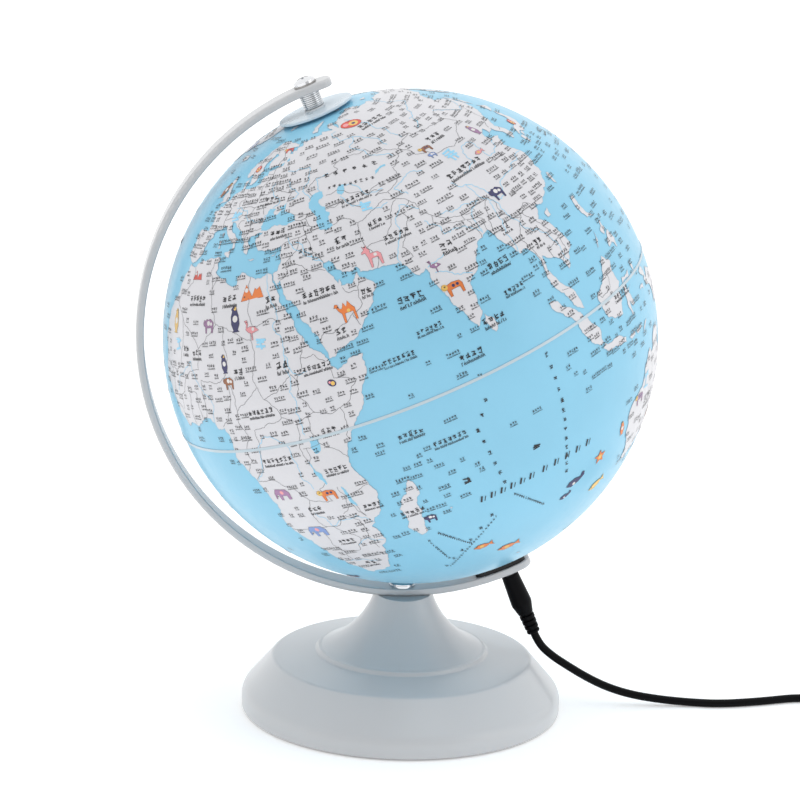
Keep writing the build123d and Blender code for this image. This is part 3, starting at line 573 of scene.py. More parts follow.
ISLANDS = [
    ("49.3 -12 50.4 -15.6 49.6 -16 48.8 -19.5 47.2 -24.8 45.2 -25.5 43.7 -23.5 43.3 -22 44.4 -20 44 "
     "-17.5 45.3 -16 47.5 -14.8 48.3 -13.4"),
    "79.9 9.7 81.3 8.5 81.8 7 80.6 6 79.8 7.5",
    ("95.3 5.6 97.6 5.2 100.3 2.8 103.6 -0.4 104.6 -1.9 106 -3 105.8 -5.8 104.5 -5.8 102.2 -3.9 100.4 "
     "-1.2 98.8 1.6 97 3.2"),
    "105.3 -6.7 106.2 -6 108.5 -6.7 111 -6.5 112.7 -7 114.5 -7.8 114.3 -8.6 111 -8.2 108 -7.8",
    ("109.2 1.8 111.3 2.6 113.2 3.6 115.3 5.5 116.9 6.9 119.2 5.2 117.8 3.5 118.9 1 117.5 0 116.4 -2.5 "
     "115.9 -3.9 114.5 -4 111.8 -3.3 110.2 -2.7 109.2 -0.5"),
    ("119 -3.2 119.8 -5.5 120.4 -5.5 120.4 -3 121.5 -4.3 122.6 -4.2 121.3 -1.9 123.3 -0.9 121 -1.3 "
     "120.2 0.2 121 0.5 124.2 0.4 125 1.5 123.5 1 120.6 1.3 119.7 -0.2"),
    "119.9 -8.4 122.8 -8.2 122.8 -8.7 120 -8.9", "123.7 -10.3 125 -9 127.2 -8.4 125.5 -9.4",
    "116 -8.4 119 -8.3 119 -8.8 116.8 -9", "127.6 2 128.6 1.2 128 -0.8 127.6 0.5",
    "128 -3 130.8 -3 130.5 -3.8 128.2 -3.4",
    ("131 -0.8 134 -0.8 135 -3.2 137.8 -1.6 141 -2.6 144.5 -3.9 147.8 -6 147 -6.9 150.8 -10.3 147 -9.6 "
     "144 -7.7 143 -9.2 140 -8.2 138 -8.3 138.8 -7 137.8 -5.3 133.7 -4 132.8 -2.8 134 -2.3 131.3 -1.5"),
    "148.5 -5.6 151 -4.4 152.3 -4.3 151 -6 149 -6.2",
    "120.6 18.5 122.2 18.4 121.6 16 123.8 13.2 121 13.7 120 15.8",
    "122 7 123.5 8.6 125.5 9.6 126.4 7.5 125.4 5.8 124 7.4",
    "122.3 10.5 123.6 10.8 125 12.2 124.8 10.2 123 9.3", "117.3 8.4 119.5 11.2 119.3 10.3 118 8.7",
    "121 25.1 121.8 24.8 120.9 22.1 120.2 23", "108.8 19.4 110.6 20 110.2 18.5 109 18.4",
    "130 33.5 131.8 33.4 131 31.4 130.2 31.3 129.8 32.9",
    ("131 34 133 34.4 135.8 33.6 138.5 34.7 140.8 35.8 141.9 39.5 141.2 41.3 140 40.5 138.5 37.3 136 "
     "36 132.5 35.4"),
    "132.5 33.9 134.4 34.2 133.5 33.4 132.7 32.9", "140 41.6 143.3 42 145.3 43.4 141.9 45.4 141 43.2",
    "142 46 143.3 49 143 52.5 142.6 54.2 141.8 52.5 142 49.5",
    ("-5.6 50.1 -3 50.7 1.3 51.2 1.7 52.6 0 53.6 -1.6 55.4 -2.2 57.4 -3.2 58.6 -5 58.5 -6 56.7 -4.9 "
     "54.8 -3 54 -4.5 53.3 -4.2 52 -5.2 51.8 -3 51.4"),
    "-6.2 52.2 -9.8 51.6 -9.9 53.9 -8 55.2 -5.8 54.6",
    "-22.5 64 -18.8 63.5 -14 64.6 -15 66.3 -20 65.8 -24 65.5", "11 79.5 15 77 21 78.5 25 80 17 80",
    "52 71 56.5 70.7 60 73.8 68.5 76.8 62 76.2 54 73.3", "95 79.5 105 78.5 100 80.5 93 81",
    "140 74.5 150 75 143 76 138 75.8", "12.5 37.9 15.5 38.2 15.1 36.7",
    "8.3 40.8 9.7 40.9 9.5 39.2 8.5 39", "8.7 42.4 9.4 42.9 9.4 41.5", "32.4 34.9 34.5 35.6 33.6 34.9",
    "23.6 35.5 26.2 35.2 24.8 35", "144.7 -40.7 148.3 -40.9 147.8 -43.2 146 -43.5",
    "172.8 -34.5 174.8 -36.5 178.4 -37.7 176.9 -39.5 175.3 -41.6 174.8 -40 173.9 -39.2 174.8 -37.8",
    "172.7 -40.6 174.3 -41.7 172.8 -43.6 170.7 -45.9 168.4 -46.6 166.5 -46 168.3 -44 171.2 -42.4",
    "-80 73.5 -72 71.5 -62 66.8 -65 63 -72 64 -73 67.5 -88 71 -88 73.5",
    "-117 71 -112 73 -104 71 -103 69 -115 69.3", "-90 77 -75 78.5 -62 82.5 -75 83 -92 81.5",
    "-125 72 -120 74.3 -118 72 -123 71.2", "-87 65 -81 64 -85 63.3",
    "-59.3 47.7 -56 51.5 -53 47 -56 47.2", "-128.2 50.7 -125 49.9 -123.4 48.4 -125.5 48.9",
    "-84.8 21.9 -82 23.1 -77 21.5 -74.2 20.2 -77.6 19.9 -81 22",
    "-74.3 18.4 -72.8 19.9 -69.7 19.7 -68.4 18.6 -71 17.9", "-78.3 18.3 -76.3 18.1 -77.2 17.8",
    "69 -48.8 70.5 -49 70 -49.7 68.9 -49.4", "55.3 -20.9 55.9 -21.1 55.5 -21.4",
    "164 -20.2 167 -22.3 166 -22.2", "-61 -51.4 -58 -51.6 -60 -52.2", "-156 20.2 -154.9 19.5 -155.8 19",
]
LAKES = [
    ("28 41.4 29.2 41.3 31.4 41.3 33.5 42 36 41.6 38.3 41 41.4 41.5 41.4 42.7 39 44 37.3 44.9 38.2 "
     "46.9 35.2 46.3 36.4 45.3 35.3 45 33.6 44.4 32.6 45.4 33.6 46.1 31 46.6 29.7 45.2 28.6 43.8 27.7 "
     "42.5"),
    ("47 44.8 48.5 46.5 51 46.9 53 46.6 53 45.3 51 44.6 51.2 43.2 52.6 42.5 52.8 41.1 53.8 40.6 53 "
     "39.5 53.9 37.2 51.5 36.7 49.3 37.5 48.9 38.5 49.3 40.3 48.5 41.8 47.5 43"),
    "58.5 44.3 58.4 45.6 60 46.6 61.6 46.3 60.9 44.6 59.5 43.7",
    "73.5 45.2 74.2 46.2 76.5 46.7 79 46.7 78.8 46.3 76 46.2 74.8 45.6",
    "103.8 51.5 106 52.6 109 54.5 110 55.7 109.5 55.6 107.5 53.5 105.5 52.2",
    "31.7 0.3 33 0.4 34.3 -0.2 33.6 -2.3 32 -2.6 31.7 -1.2",
    "29.2 -3.4 29.8 -4.5 31.2 -8.5 30.7 -8.7 29.3 -6",
    "34 -9.6 34.7 -11.5 35.2 -14.3 34.7 -14.1 34.1 -11.8", "13.3 13.6 14.8 13.7 14.9 12.7 13.8 12.5",
    "30.5 60 32.8 61.2 32.5 60 31.2 59.9", "34.5 61 35.5 62.6 36.2 61.2",
    "-92 46.8 -89 48.2 -86 48.7 -84.7 46.9 -88 46.8",
    "-87.8 42 -87.8 44.5 -85.3 46 -85.2 44.8 -86.5 43.5",
    "-84.6 45.9 -81.5 46 -80 44.9 -81.7 44.5 -82.4 43.1 -83.4 44.5",
    "-83.3 41.8 -80.5 42.7 -79 42.8 -81.5 41.6", "-79.7 43.3 -76.4 44 -76.5 43.5",
    "-124.5 66 -119 67 -118 65.8 -122 65", "-116.5 61.3 -109.5 62.8 -113 61.2",
    "-98.8 53.8 -96.5 51 -97.5 51.5",
]
BORDERS = [
    ("47.5 45.5 49 46.3 46.6 48.5 48.8 50 51.5 51.5 54.5 51 58.5 51 61.5 51.4 60.2 53 65 54.4 71 54.2 "
     "73.5 53.5 76.5 54.2 79.5 51 83.5 51 87.3 49.1 85.5 47 82.5 45.5 80.3 44.8 80.2 42.1"),
    ("87.8 49.2 92 50.7 98.2 52 98.8 50.5 102.2 50.5 107 50 113 49.6 116.6 49.8 119.8 46.7 114.5 45.2 "
     "111.8 43.8 110 42.7 105 41.6 101 42.5 96.4 42.7 95.3 44.2 91 45.1 90.9 46.5 87.8 49.2"),
    "116.6 49.8 119.8 52.8 123.5 53.5 127.5 50 131 47.7 134.7 48.3 131.2 45 130.6 42.4 128 42 124.4 40",
    "126.7 37.8 128.3 38.5",
    ("80.2 42.1 76.5 40.4 73.8 39.6 74.8 37.3 77.8 35.5 79 34.3 78.8 32 81 30.3 86 28 88.8 27.4 92 "
     "27.8 95.5 29 97.4 28.2 98.6 26 97.7 24 99.5 22.1 101.8 21.2 102.2 22.5 105.3 23.3 106.8 22.6 108 "
     "21.6"),
    "81 30.3 80.1 28.8 83.5 27.4 88.1 26.4 88.1 27.8", "88.9 27.2 92 26.9 91.7 27.8",
    "89 21.8 88.8 24.2 88.4 26.3 89.8 25.9 92.3 25 91.4 23 92.3 21 93.3 24 95.2 26.7 97.2 27.7",
    "98.5 10 99.3 13 98.5 16 97.5 18.4 100 20.4 101.8 21.2",
    "100 20.4 101 17.6 103 18.3 104.8 16.5 105.6 14.3 102.5 13.6 102.9 11.7",
    "102.2 22.4 104.7 19.5 107.5 15 107.6 12.3 105.5 11 104.5 10.4", "105.6 14.3 107.5 14.6",
    "100.1 6.4 102 6", "109.6 2 110.5 0.9 114.7 1.5 115.8 4.3 117.7 4.2", "141 -2.6 141 -9",
    "68.2 23.8 71 24.5 69.6 27 73 30 74.6 31.8 74 34 77.8 35.5",
    "61.6 25.2 62.8 27.2 60.9 29.9 66.3 29.9 69.4 32 71.2 34.8 74.6 37",
    "60.9 29.9 60.8 33.5 61.2 35.6 57 38.2 53.9 37.3",
    "61.2 35.6 64.5 36.4 67.8 37.2 71 38.3 74.8 37.3", "52.5 41.8 56 41.3 58.6 42.7 62 40 66.5 37.4",
    "54 45.2 56 45 58.5 45.5 62 43.5 66 42.2 68 41 71 42.3 73.6 42.6 80.2 42.1",
    "68 41 70.5 41.5 73 40.5 69.5 40 73.7 39.5",
    "48.5 30 46 33 45.3 35.8 44.8 37.2 44.4 39.6 46.5 38.9 48.9 38.5",
    "36 35.9 36.7 36.8 42.3 37.2 44.8 37.2", "42.3 37.2 41.2 34.5 38.8 33.4 36 32.5",
    "39 32 37 31.5 37.7 30.4 35 29.4", "38.8 33.4 39 32 42 31.1 44.7 29.2 46.6 29.1 48.4 28.5",
    "40 43.5 43.5 42.7 46.5 41.9 48.5 41.8", "41.5 41.5 43.5 41.1 45 41.2 46.5 41.9",
    "43.5 41.1 44.4 39.6", "45 41.2 45.8 40 46.5 38.9", "42.8 16.4 44 17.4 47 17 52 19 53 16.6",
    "52 19 55 20 55.2 22.7 56 24.2", "51.6 24.2 52.6 22.9 55.2 22.7", "25 31.6 25 22 36.8 22",
    "25 22 24 19.5 24 15.7 22.5 13 23.5 10 24.2 8.7", "9.5 30.3 10 26.5 11.9 23.5 14.8 22.9 24 19.5",
    "11.9 23.5 4.2 19.2 -4.8 25 -8.7 27.3 -8.7 28.7",
    "14.8 22.9 15.5 17 13.5 13.7 9 12.8 4 13.5 3.6 11.7 2.7 6.4", "14.3 12.5 13 8 8.6 4.8",
    "14.3 12.5 15.5 9.9 15.2 7.4 19 9 22.9 11", "15.2 7.4 14.5 5 16.2 2.3 13.3 2.2 9.8 2.2",
    "38.5 18 36.5 14.3 34.2 10.5 33 7.8 36 4.5 39.5 3.5 42 4.1 45 5 48 8 43 9.3 42.9 11",
    "36.5 14.3 40 14.4 42.4 12.5", "42 4.1 41 -0.8 41.5 -1.7", "24.2 8.7 28 9.4 33 12 34.2 10.5",
    "24.2 8.7 27.3 5 30.8 3.6 34 4.2 36 4.5", "34 4.2 34 -1 37.7 -3 39.2 -4.7",
    "30.8 3.6 29.8 0.5 29.2 -3.4", "29.6 -1.3 34 -1", "29.2 -4.4 30.6 -3.2 30.5 -1.3",
    "27.3 5 22.5 4.2 18.6 3.6 17.8 -0.5 16 -4 12.3 -5.8",
    "12.4 -6 16.6 -5.9 19.5 -7.5 21.8 -8 24 -11 28.4 -12.2 29.8 -12.1 28.5 -9.2 30.7 -8.3",
    "16.2 2.3 14 0.5 13.8 -2 11.2 -3.9", "24 -11 22 -13 22 -16.2 23.3 -17.6",
    "11.8 -17.2 18.5 -17.4 23.3 -17.6", "21 -18.3 20 -22 20 -28.4 16.6 -28.6",
    "20 -24.8 23 -25.3 25.8 -25.5 29.4 -22.2 31.3 -22.4 31.9 -25.8",
    "23.3 -17.6 25.3 -17.8 27 -19.7 29.4 -22.2",
    "31.3 -22.4 32.9 -20 33 -17.5 30.4 -15.8 27 -17.8 25.3 -17.8", "40.4 -10.5 35 -11.6",
    "33 -9.5 33 -14 30.3 -15.3", "34.7 -14.1 35.5 -17 34.3 -15.5 34 -14",
    "-4.8 25 -5.5 16 -12 15 -11.4 12.4", "4.2 19.2 3.5 15.4 0.3 15 -2.5 14.2 -5.5 11",
    "-2.9 5.1 -2.8 11 1 11", "1 6.1 0.9 11", "-2.2 35.1 -1.5 32 -5.5 30 -8.7 28.7 -13 27.7",
    "8.6 36.9 7.6 33.8 9.1 32 9.5 30.3 11.5 33", "-16.4 16.2 -12 15",
    "-11.4 12.4 -13.7 9.5 -9 7.5 -7.5 4.4", "-5.5 11 -8 10.2 -8.2 7.6", "-1.8 43.3 3.1 42.5",
    "-8.8 41.9 -6.5 41.6 -7.2 39 -7.4 37.2", "2.6 51 6.2 49.5 8 49 7.6 47.6 6.9 46 7.5 43.8",
    "7 53.3 6.2 49.5", "14.2 53.9 14.8 51 12.2 50.3 13.8 48.8 12.9 47.6 9.6 47.5 7.6 47.6",
    "6.9 46 9 46 12.4 46.7 13.7 46.4 13.7 45.6",
    "19.5 54.4 23.5 54 23.6 51.5 22.6 49.1 18.8 49.5 14.8 51",
    "23.6 51.5 30.6 51.3 31.8 52.1 34.5 51.2 40 49.6 38.2 47.1",
    "28 59.4 27.5 57.5 28.2 56.1 30.9 55.6 31.8 52.1", "23.5 54 26.6 55.7 28.2 56.1",
    "24.4 57.9 27.5 57.5", "13.8 48.8 16.5 48.8 22.8 48 20.5 46.1 16.5 46.5 16.5 48.8",
    "22.8 48 26.5 48.2 28.2 45.5", "28.6 43.8 22.7 44.2 20.5 46.1", "22.7 44.2 22.5 42 26.3 41.8 28 42",
    "20 42 20.8 40 22.5 42", "16.5 46.5 13.7 45.6", "19 45 17 45 16 44 18.5 42.5",
    "28.5 60.6 31.5 62.8 29 66 28.8 69.7", "11.2 59 12.2 61.8 14 64.4 18 68.4 20.6 69 24 65.8",
    "-123 49 -95.2 49 -89.5 48 -84.5 46.5 -82.5 45.3 -79 43 -75 45 -71.5 45 -69.2 47.4 -67.8 45.7",
    "-141 69.6 -141 60.3 -130 55.5", "-117.1 32.5 -111 31.3 -106.5 31.8 -103 29 -99.5 27.5 -97.2 25.9",
    "-92.3 14.5 -89 17.8 -89 16", "-89.3 14.4 -83.2 15", "-85.7 11.1 -83.7 11", "-83 8.3 -82.6 9.5",
    "-77.9 7.3 -77.4 8.6",
    ("-51.7 4 -54.5 2.3 -60 4.5 -64 2 -67 1.2 -69.8 -4.3 -73 -7.3 -70.6 -11 -65.4 -10 -60.2 -15 -58 "
     "-19.8 -54.3 -24 -53.8 -27.3 -57.6 -30.2 -53.4 -33.7"),
    "-68.5 -52.3 -72 -49 -71.5 -40 -70 -33 -67.2 -23 -69.5 -18 -69 -12.4 -65.4 -10",
    "-67.2 -23 -62.6 -22.2 -58 -19.8", "-62.6 -22.2 -58.6 -27.2 -54.6 -25.6",
    "-80.3 -3.4 -75.5 0 -70 -4.2", "-78.8 1.3 -75.3 -0.1", "-71.5 11.8 -72.4 7.4 -67.5 6 -67 1.2",
    "-60 8 -61 5", "-57.2 5.9 -57.3 2", "-69.5 -18 -70.3 -18.3", "129 -14.9 129 -31.6",
    "138 -16.6 138 -26 129 -26", "141 -26 141 -38", "138 -26 141 -26 141 -29 153.4 -28.2",
    "141 -34 150 -37.4",
]
RIVERS = [
    "31 31.4 31.2 27 32.8 24 31 21 33 18 32.5 15.6 32.6 12 31.5 9 31.7 4 31.5 1",
    "32.5 15.6 35 11.5 37.3 11.8", "12.4 -6 16.5 -2.5 18.5 1 22 2 25.2 0.5 26 -5 27 -9",
    "6 4.5 6.7 7.8 3.5 12 0 16.8 -4 15 -9 11", "36.2 -18.8 33 -16.2 28.5 -16.5 25 -17.8 23 -14",
    "48 46 45 48.7 48.5 53.3 49 56 43.5 56.5 37 57", "70 66.8 66.5 66.5 68.5 61.5 76 61 84 56.5 86 52",
    "83 71 87 66 90 60 92.8 56 94 51.8", "127 72 124 66 129 62 120 60 108 56",
    "141 53 137 50 131 47.8 127.5 50 121.5 53.3",
    "121.5 31.7 117 30.8 112 30 106.5 29.5 101 26.2 97 32 92 34.5",
    "118.8 37.7 113.5 34.8 110.4 35 111 40 107 40.6 103.8 36 98 34.8",
    "90 22.5 87 25.3 81 25.8 78.2 30", "90 22.8 90 25.5 95 28.5 90 29.3 83 29.8",
    "67.5 24 69 28 71 32 74.5 35.5 79 32.8", "48.3 30.2 44 33.5 41 36.5",
    "47.5 31 43 33.5 40 35.3 38.5 38", "106.5 10 106 14 102 18 100.5 20.8 98.5 27 95.5 32.5",
    "95 16 95 20 96.5 24 97.5 27", "60.8 46.1 66 44 68 41 73 41", "59 43.6 63 39.5 67 37.2 72 37.3",
    "29.5 45.2 26 44 20.5 44.8 19 47.7 12 48.9", "32 46.5 35 48 31 50.5 31 54",
    "39.5 47.2 43.5 48.5 39.5 51 38.5 53.5", "52 47 51.5 51 57 51.5", "76 61 71 57 76 53 84 48",
    "81 41 76 39.5 79 37", "81 41 88 40.5", "73 21.5 78 22.5", "82 17 77 19 74 20", "35 28 34 29",
    "-50 -0.5 -55 -2.3 -60 -3.2 -65 -3 -70 -4 -75 -4.7", "-58.3 -34 -58.8 -27.5 -54.5 -25.5 -50.5 -20",
    "-89.5 29.5 -91 33 -90 37 -91 42 -94 46.5", "-90.2 38.8 -95.8 41.2 -101 47 -110 47.5",
    "-135 69 -128 65 -117 61.3", "-69 48.2 -76 44.5", "139.3 -35.4 142 -34.2 148 -36",
    "14 -27 20 -28.5 27 -30", "35 -24 31 -22.3 27 -24",
]


# ---- map layers, each printed a little above the one before ----
SEA = (0.250, 0.565, 0.755)
PAPER = (0.665, 0.665, 0.695)
LIGHT_BLUE = (0.30, 0.64, 0.86)
INK = (0.022, 0.022, 0.026)
COLLAR_SEAT_R = 0.0124       # the print ends here at the south pole
# Heights of the printed layers above the shells.
LAND_UP, WATER_UP, RIVER_UP, BORDER_UP = 0.00012, 0.00017, 0.00018, 0.00019
PICTURE_UP, SPOT_UP, LINE_UP, SMALL_NAME_UP = 0.00021, 0.00023, 0.00025, 0.00026
# Widths of the printed lines.
COAST_WIDTH, RIVER_WIDTH, BORDER_WIDTH, PICTURE_LINE_WIDTH = 0.00012, 0.00032, 0.00020, 0.00011
COAST_SHORTEST, LINE_SHORTEST = 0.010, 0.008   # the uneven bends' least length, in radians
COAST_SWAY, RIVER_SWAY, BORDER_SWAY = 0.16, 0.20, 0.12
PICTURE_STEP = 0.02


def printed(name, colour, vary=0.03):
    """Printed ink under the globe's satin varnish."""
    paint = Paint(name)
    cloud = paint.noise(20.0, 4.0)
    paint.tint(cloud, colour, 1 - vary, 1 + vary)
    paint.link(paint.between(paint.noise(260.0, 2.0), 0.30, 0.38), "Roughness")
    paint.fixed(Specular_IOR_Level=0.35, Coat_Weight=0.12, Coat_Roughness=0.18)
    return paint.material


def outlined(text, rng):
    """An outline's chart, its ring with uneven bends, and its plain ring."""
    ring = [unit(*pair) for pair in pairs(text)]
    chart = Chart(sum(ring, Vector()))
    plain = [chart.flat(d) for d in ring]
    return chart, rough(plain + plain[:1], rng, COAST_SHORTEST, COAST_SWAY)[:-1], plain


def lined(text, rng, sway):
    line = [unit(*pair) for pair in pairs(text)]
    chart = Chart(sum(line, Vector()))
    return chart, rough([chart.flat(d) for d in line], rng, LINE_SHORTEST, sway)


def ring_round(direction, reach, count=32):
    """Directions on a small circle round another direction; `reach` is the circle's radius."""
    chart = Chart(direction)
    angle = reach / GLOBE_R
    turns = [2 * pi * i / count for i in range(count)]
    return [chart.round(Vector((angle * cos(turn), angle * sin(turn)))) for turn in turns]


def make_map():
    """Land, coasts, lakes, rivers and borders. Returns a test for whether a direction is on land."""
    rng = random.Random(4)
    land = Print("map_land", LAND_UP, printed("ink_land", PAPER))
    coast = Print("map_coast", WATER_UP, printed("ink_coast", (0.40, 0.46, 0.52)))
    lakes = Print("map_lakes", WATER_UP, printed("ink_lakes", SEA))
    rivers = Print("map_rivers", RIVER_UP, printed("ink_rivers", LIGHT_BLUE))
    borders = Print("map_borders", BORDER_UP, printed("ink_borders", (0.16, 0.16, 0.17)))
    grounds, waters = [], []
    for name, text in list(LAND.items()) + [("island", text) for text in ISLANDS]:
        chart, ring, plain = outlined(text, rng)
        hole = ()
        if name == "antarctica":
            hole = [chart.flat(d) for d in ring_round(SOUTH_AXIS, COLLAR_SEAT_R)]
        land.fill(chart, ring, hole=hole)
        coast.ribbon(chart, ring + ring[:1], COAST_WIDTH)
        grounds.append((chart, plain, max(p.length for p in plain)))
    for text in LAKES:
        chart, ring, plain = outlined(text, rng)
        lakes.fill(chart, ring)
        waters.append((chart, plain, max(p.length for p in plain)))
    for text in RIVERS:
        rivers.ribbon(*lined(text, rng, RIVER_SWAY), RIVER_WIDTH)
    for text in BORDERS:
        borders.ribbon(*lined(text, rng, BORDER_SWAY), BORDER_WIDTH)
    for layer in (land, coast, lakes, rivers, borders):
        layer.make()

    def covered(areas, direction):
        near = [area for area in areas if direction.angle(area[0].middle) < area[2]]
        return any(inside(chart.flat(direction), plain) for chart, plain, _ in near)

    return lambda direction: covered(grounds, direction) and not covered(waters, direction)


# ---- small pictures: plain outlines, about two units across ----
BEAST = [(-0.9, 0.25), (-0.75, 0.5), (-0.45, 0.35), (0.1, 0.45), (0.7, 0.35), (0.85, 0.1), (0.8, -0.6),
         (0.6, -0.6), (0.55, -0.1), (-0.2, -0.1), (-0.25, -0.6), (-0.45, -0.6), (-0.5, 0), (-0.75, 0.15)]
TRUNKED = [(-0.95, -0.4), (-0.85, 0.2), (-0.55, 0.6), (0, 0.55), (0.6, 0.5), (0.9, 0.1), (0.8, -0.6),
           (0.5, -0.6), (0.45, -0.15), (-0.1, -0.15), (-0.15, -0.6), (-0.4, -0.6), (-0.45, 0), (-0.7, 0),
           (-0.8, -0.4)]
HUMPED = [(-1, 0.55), (-0.85, 0.8), (-0.65, 0.75), (-0.55, 0.35), (-0.35, 0.3), (-0.15, 0.75), (0.05, 0.35),
          (0.25, 0.8), (0.5, 0.35), (0.7, 0.1), (0.75, -0.9), (0.58, -0.9), (0.5, -0.15), (-0.2, -0.15),
          (-0.25, -0.9), (-0.42, -0.9), (-0.45, -0.1), (-0.7, 0.2), (-0.8, 0.5)]
WADER = [(-0.75, 0.95), (-0.4, 1), (-0.3, 0.6), (-0.45, 0.25), (-0.1, 0.35), (0.5, 0.25), (0.95, -0.15),
         (0.3, -0.3), (0.12, -0.35), (0.12, -1), (-0.02, -1), (0, -0.35), (-0.35, -0.2), (-0.65, 0.1),
         (-0.5, 0.55), (-0.6, 0.75)]
UPRIGHT = [(-0.1, 1), (0.15, 0.95), (0.25, 0.6), (0.4, 0.2), (0.45, -0.4), (0.25, -0.85), (0.4, -1),
           (-0.35, -1), (-0.2, -0.85), (-0.4, -0.4), (-0.4, 0.2), (-0.25, 0.6), (-0.35, 0.75)]
WOOLLY = [(-0.95, 0.3), (-0.8, 0.6), (-0.5, 0.55), (-0.3, 0.7), (0, 0.6), (0.3, 0.7), (0.6, 0.5),
          (0.85, 0.3), (0.8, -0.1), (0.7, -0.8), (0.5, -0.8), (0.45, -0.25), (-0.3, -0.25), (-0.35, -0.8),
          (-0.55, -0.8), (-0.6, -0.1), (-0.85, 0)]
HORNED = [(-0.55, 1), (-0.35, 0.75), (-0.2, 1), (-0.2, 0.7), (-0.05, 0.5), (-0.1, 0.2), (0.5, 0.15),
          (0.7, -0.1), (0.65, -0.95), (0.5, -0.95), (0.4, -0.25), (-0.1, -0.25), (-0.2, -0.95),
          (-0.35, -0.95), (-0.35, -0.05), (-0.45, 0.35), (-0.75, 0.35), (-0.7, 0.5), (-0.45, 0.65)]
FISH = [(-0.9, 0), (-0.4, 0.35), (0.2, 0.3), (0.5, 0.08), (0.9, 0.4), (0.8, 0), (0.9, -0.4), (0.5, -0.08),
        (0.2, -0.3), (-0.4, -0.35)]
WHALE = [(-0.9, 0), (-0.6, 0.3), (0, 0.35), (0.5, 0.1), (0.75, 0.45), (0.95, 0.35), (0.85, 0), (0.6, -0.1),
         (0.2, -0.25), (-0.5, -0.3)]
PEAKS = [(-1, -0.5), (-0.45, 0.6), (0.02, -0.3), (0.3, 0.25), (0.45, 0.1), (0.7, 0.3), (1, -0.5)]
OVAL = [(0.62 * cos(pi / 8 * i), 0.85 * sin(pi / 8 * i)) for i in range(16)]
ROUND = [(cos(pi / 6 * i), sin(pi / 6 * i)) for i in range(12)]
STAR = [((0.9, 0.4)[i % 2] * sin(pi / 5 * i), (0.9, 0.4)[i % 2] * cos(pi / 5 * i)) for i in range(10)]
COLOURS = {
    "red": (0.66, 0.075, 0.050),
    "orange": (0.76, 0.215, 0.060),
    "yellow": (0.78, 0.50, 0.13),
    "pink": (0.80, 0.33, 0.36),
    "purple": (0.34, 0.19, 0.34),
    "navy": (0.045, 0.045, 0.13),
    "brown": (0.30, 0.13, 0.070),
    "blue": (0.20, 0.30, 0.58),
    "white": (0.72, 0.71, 0.70),
}
# Spots of a second colour on the outlines: outline, place, radius and colour.
SPOTS = [
    (OVAL, (0.0, -0.20), 0.40, "yellow"), (OVAL, (0.0, 0.42), 0.24, "pink"),
    (OVAL, (0.0, -0.20), 0.16, "navy"), (BEAST, (-0.62, 0.26), 0.26, "yellow"),
    (BEAST, (0.10, 0.15), 0.13, "navy"), (BEAST, (0.45, 0.15), 0.12, "navy"),
    (UPRIGHT, (0.02, 0.0), 0.26, "white"), (UPRIGHT, (0.05, 0.78), 0.14, "yellow"),
    (WOOLLY, (0.0, 0.25), 0.26, "white"), (WOOLLY, (0.45, 0.15), 0.18, "white"),
    (TRUNKED, (0.05, 0.2), 0.20, "pink"), (HUMPED, (0.15, 0.0), 0.15, "yellow"),
    (FISH, (-0.15, 0.0), 0.20, "yellow"), (WHALE, (-0.2, -0.12), 0.14, "white"),
    (HORNED, (0.25, -0.02), 0.14, "white"), (WADER, (0.25, 0.05), 0.18, "white"),
    (STAR, (0.0, 0.0), 0.28, "yellow"), (PEAKS, (-0.45, 0.2), 0.16, "white"),
]
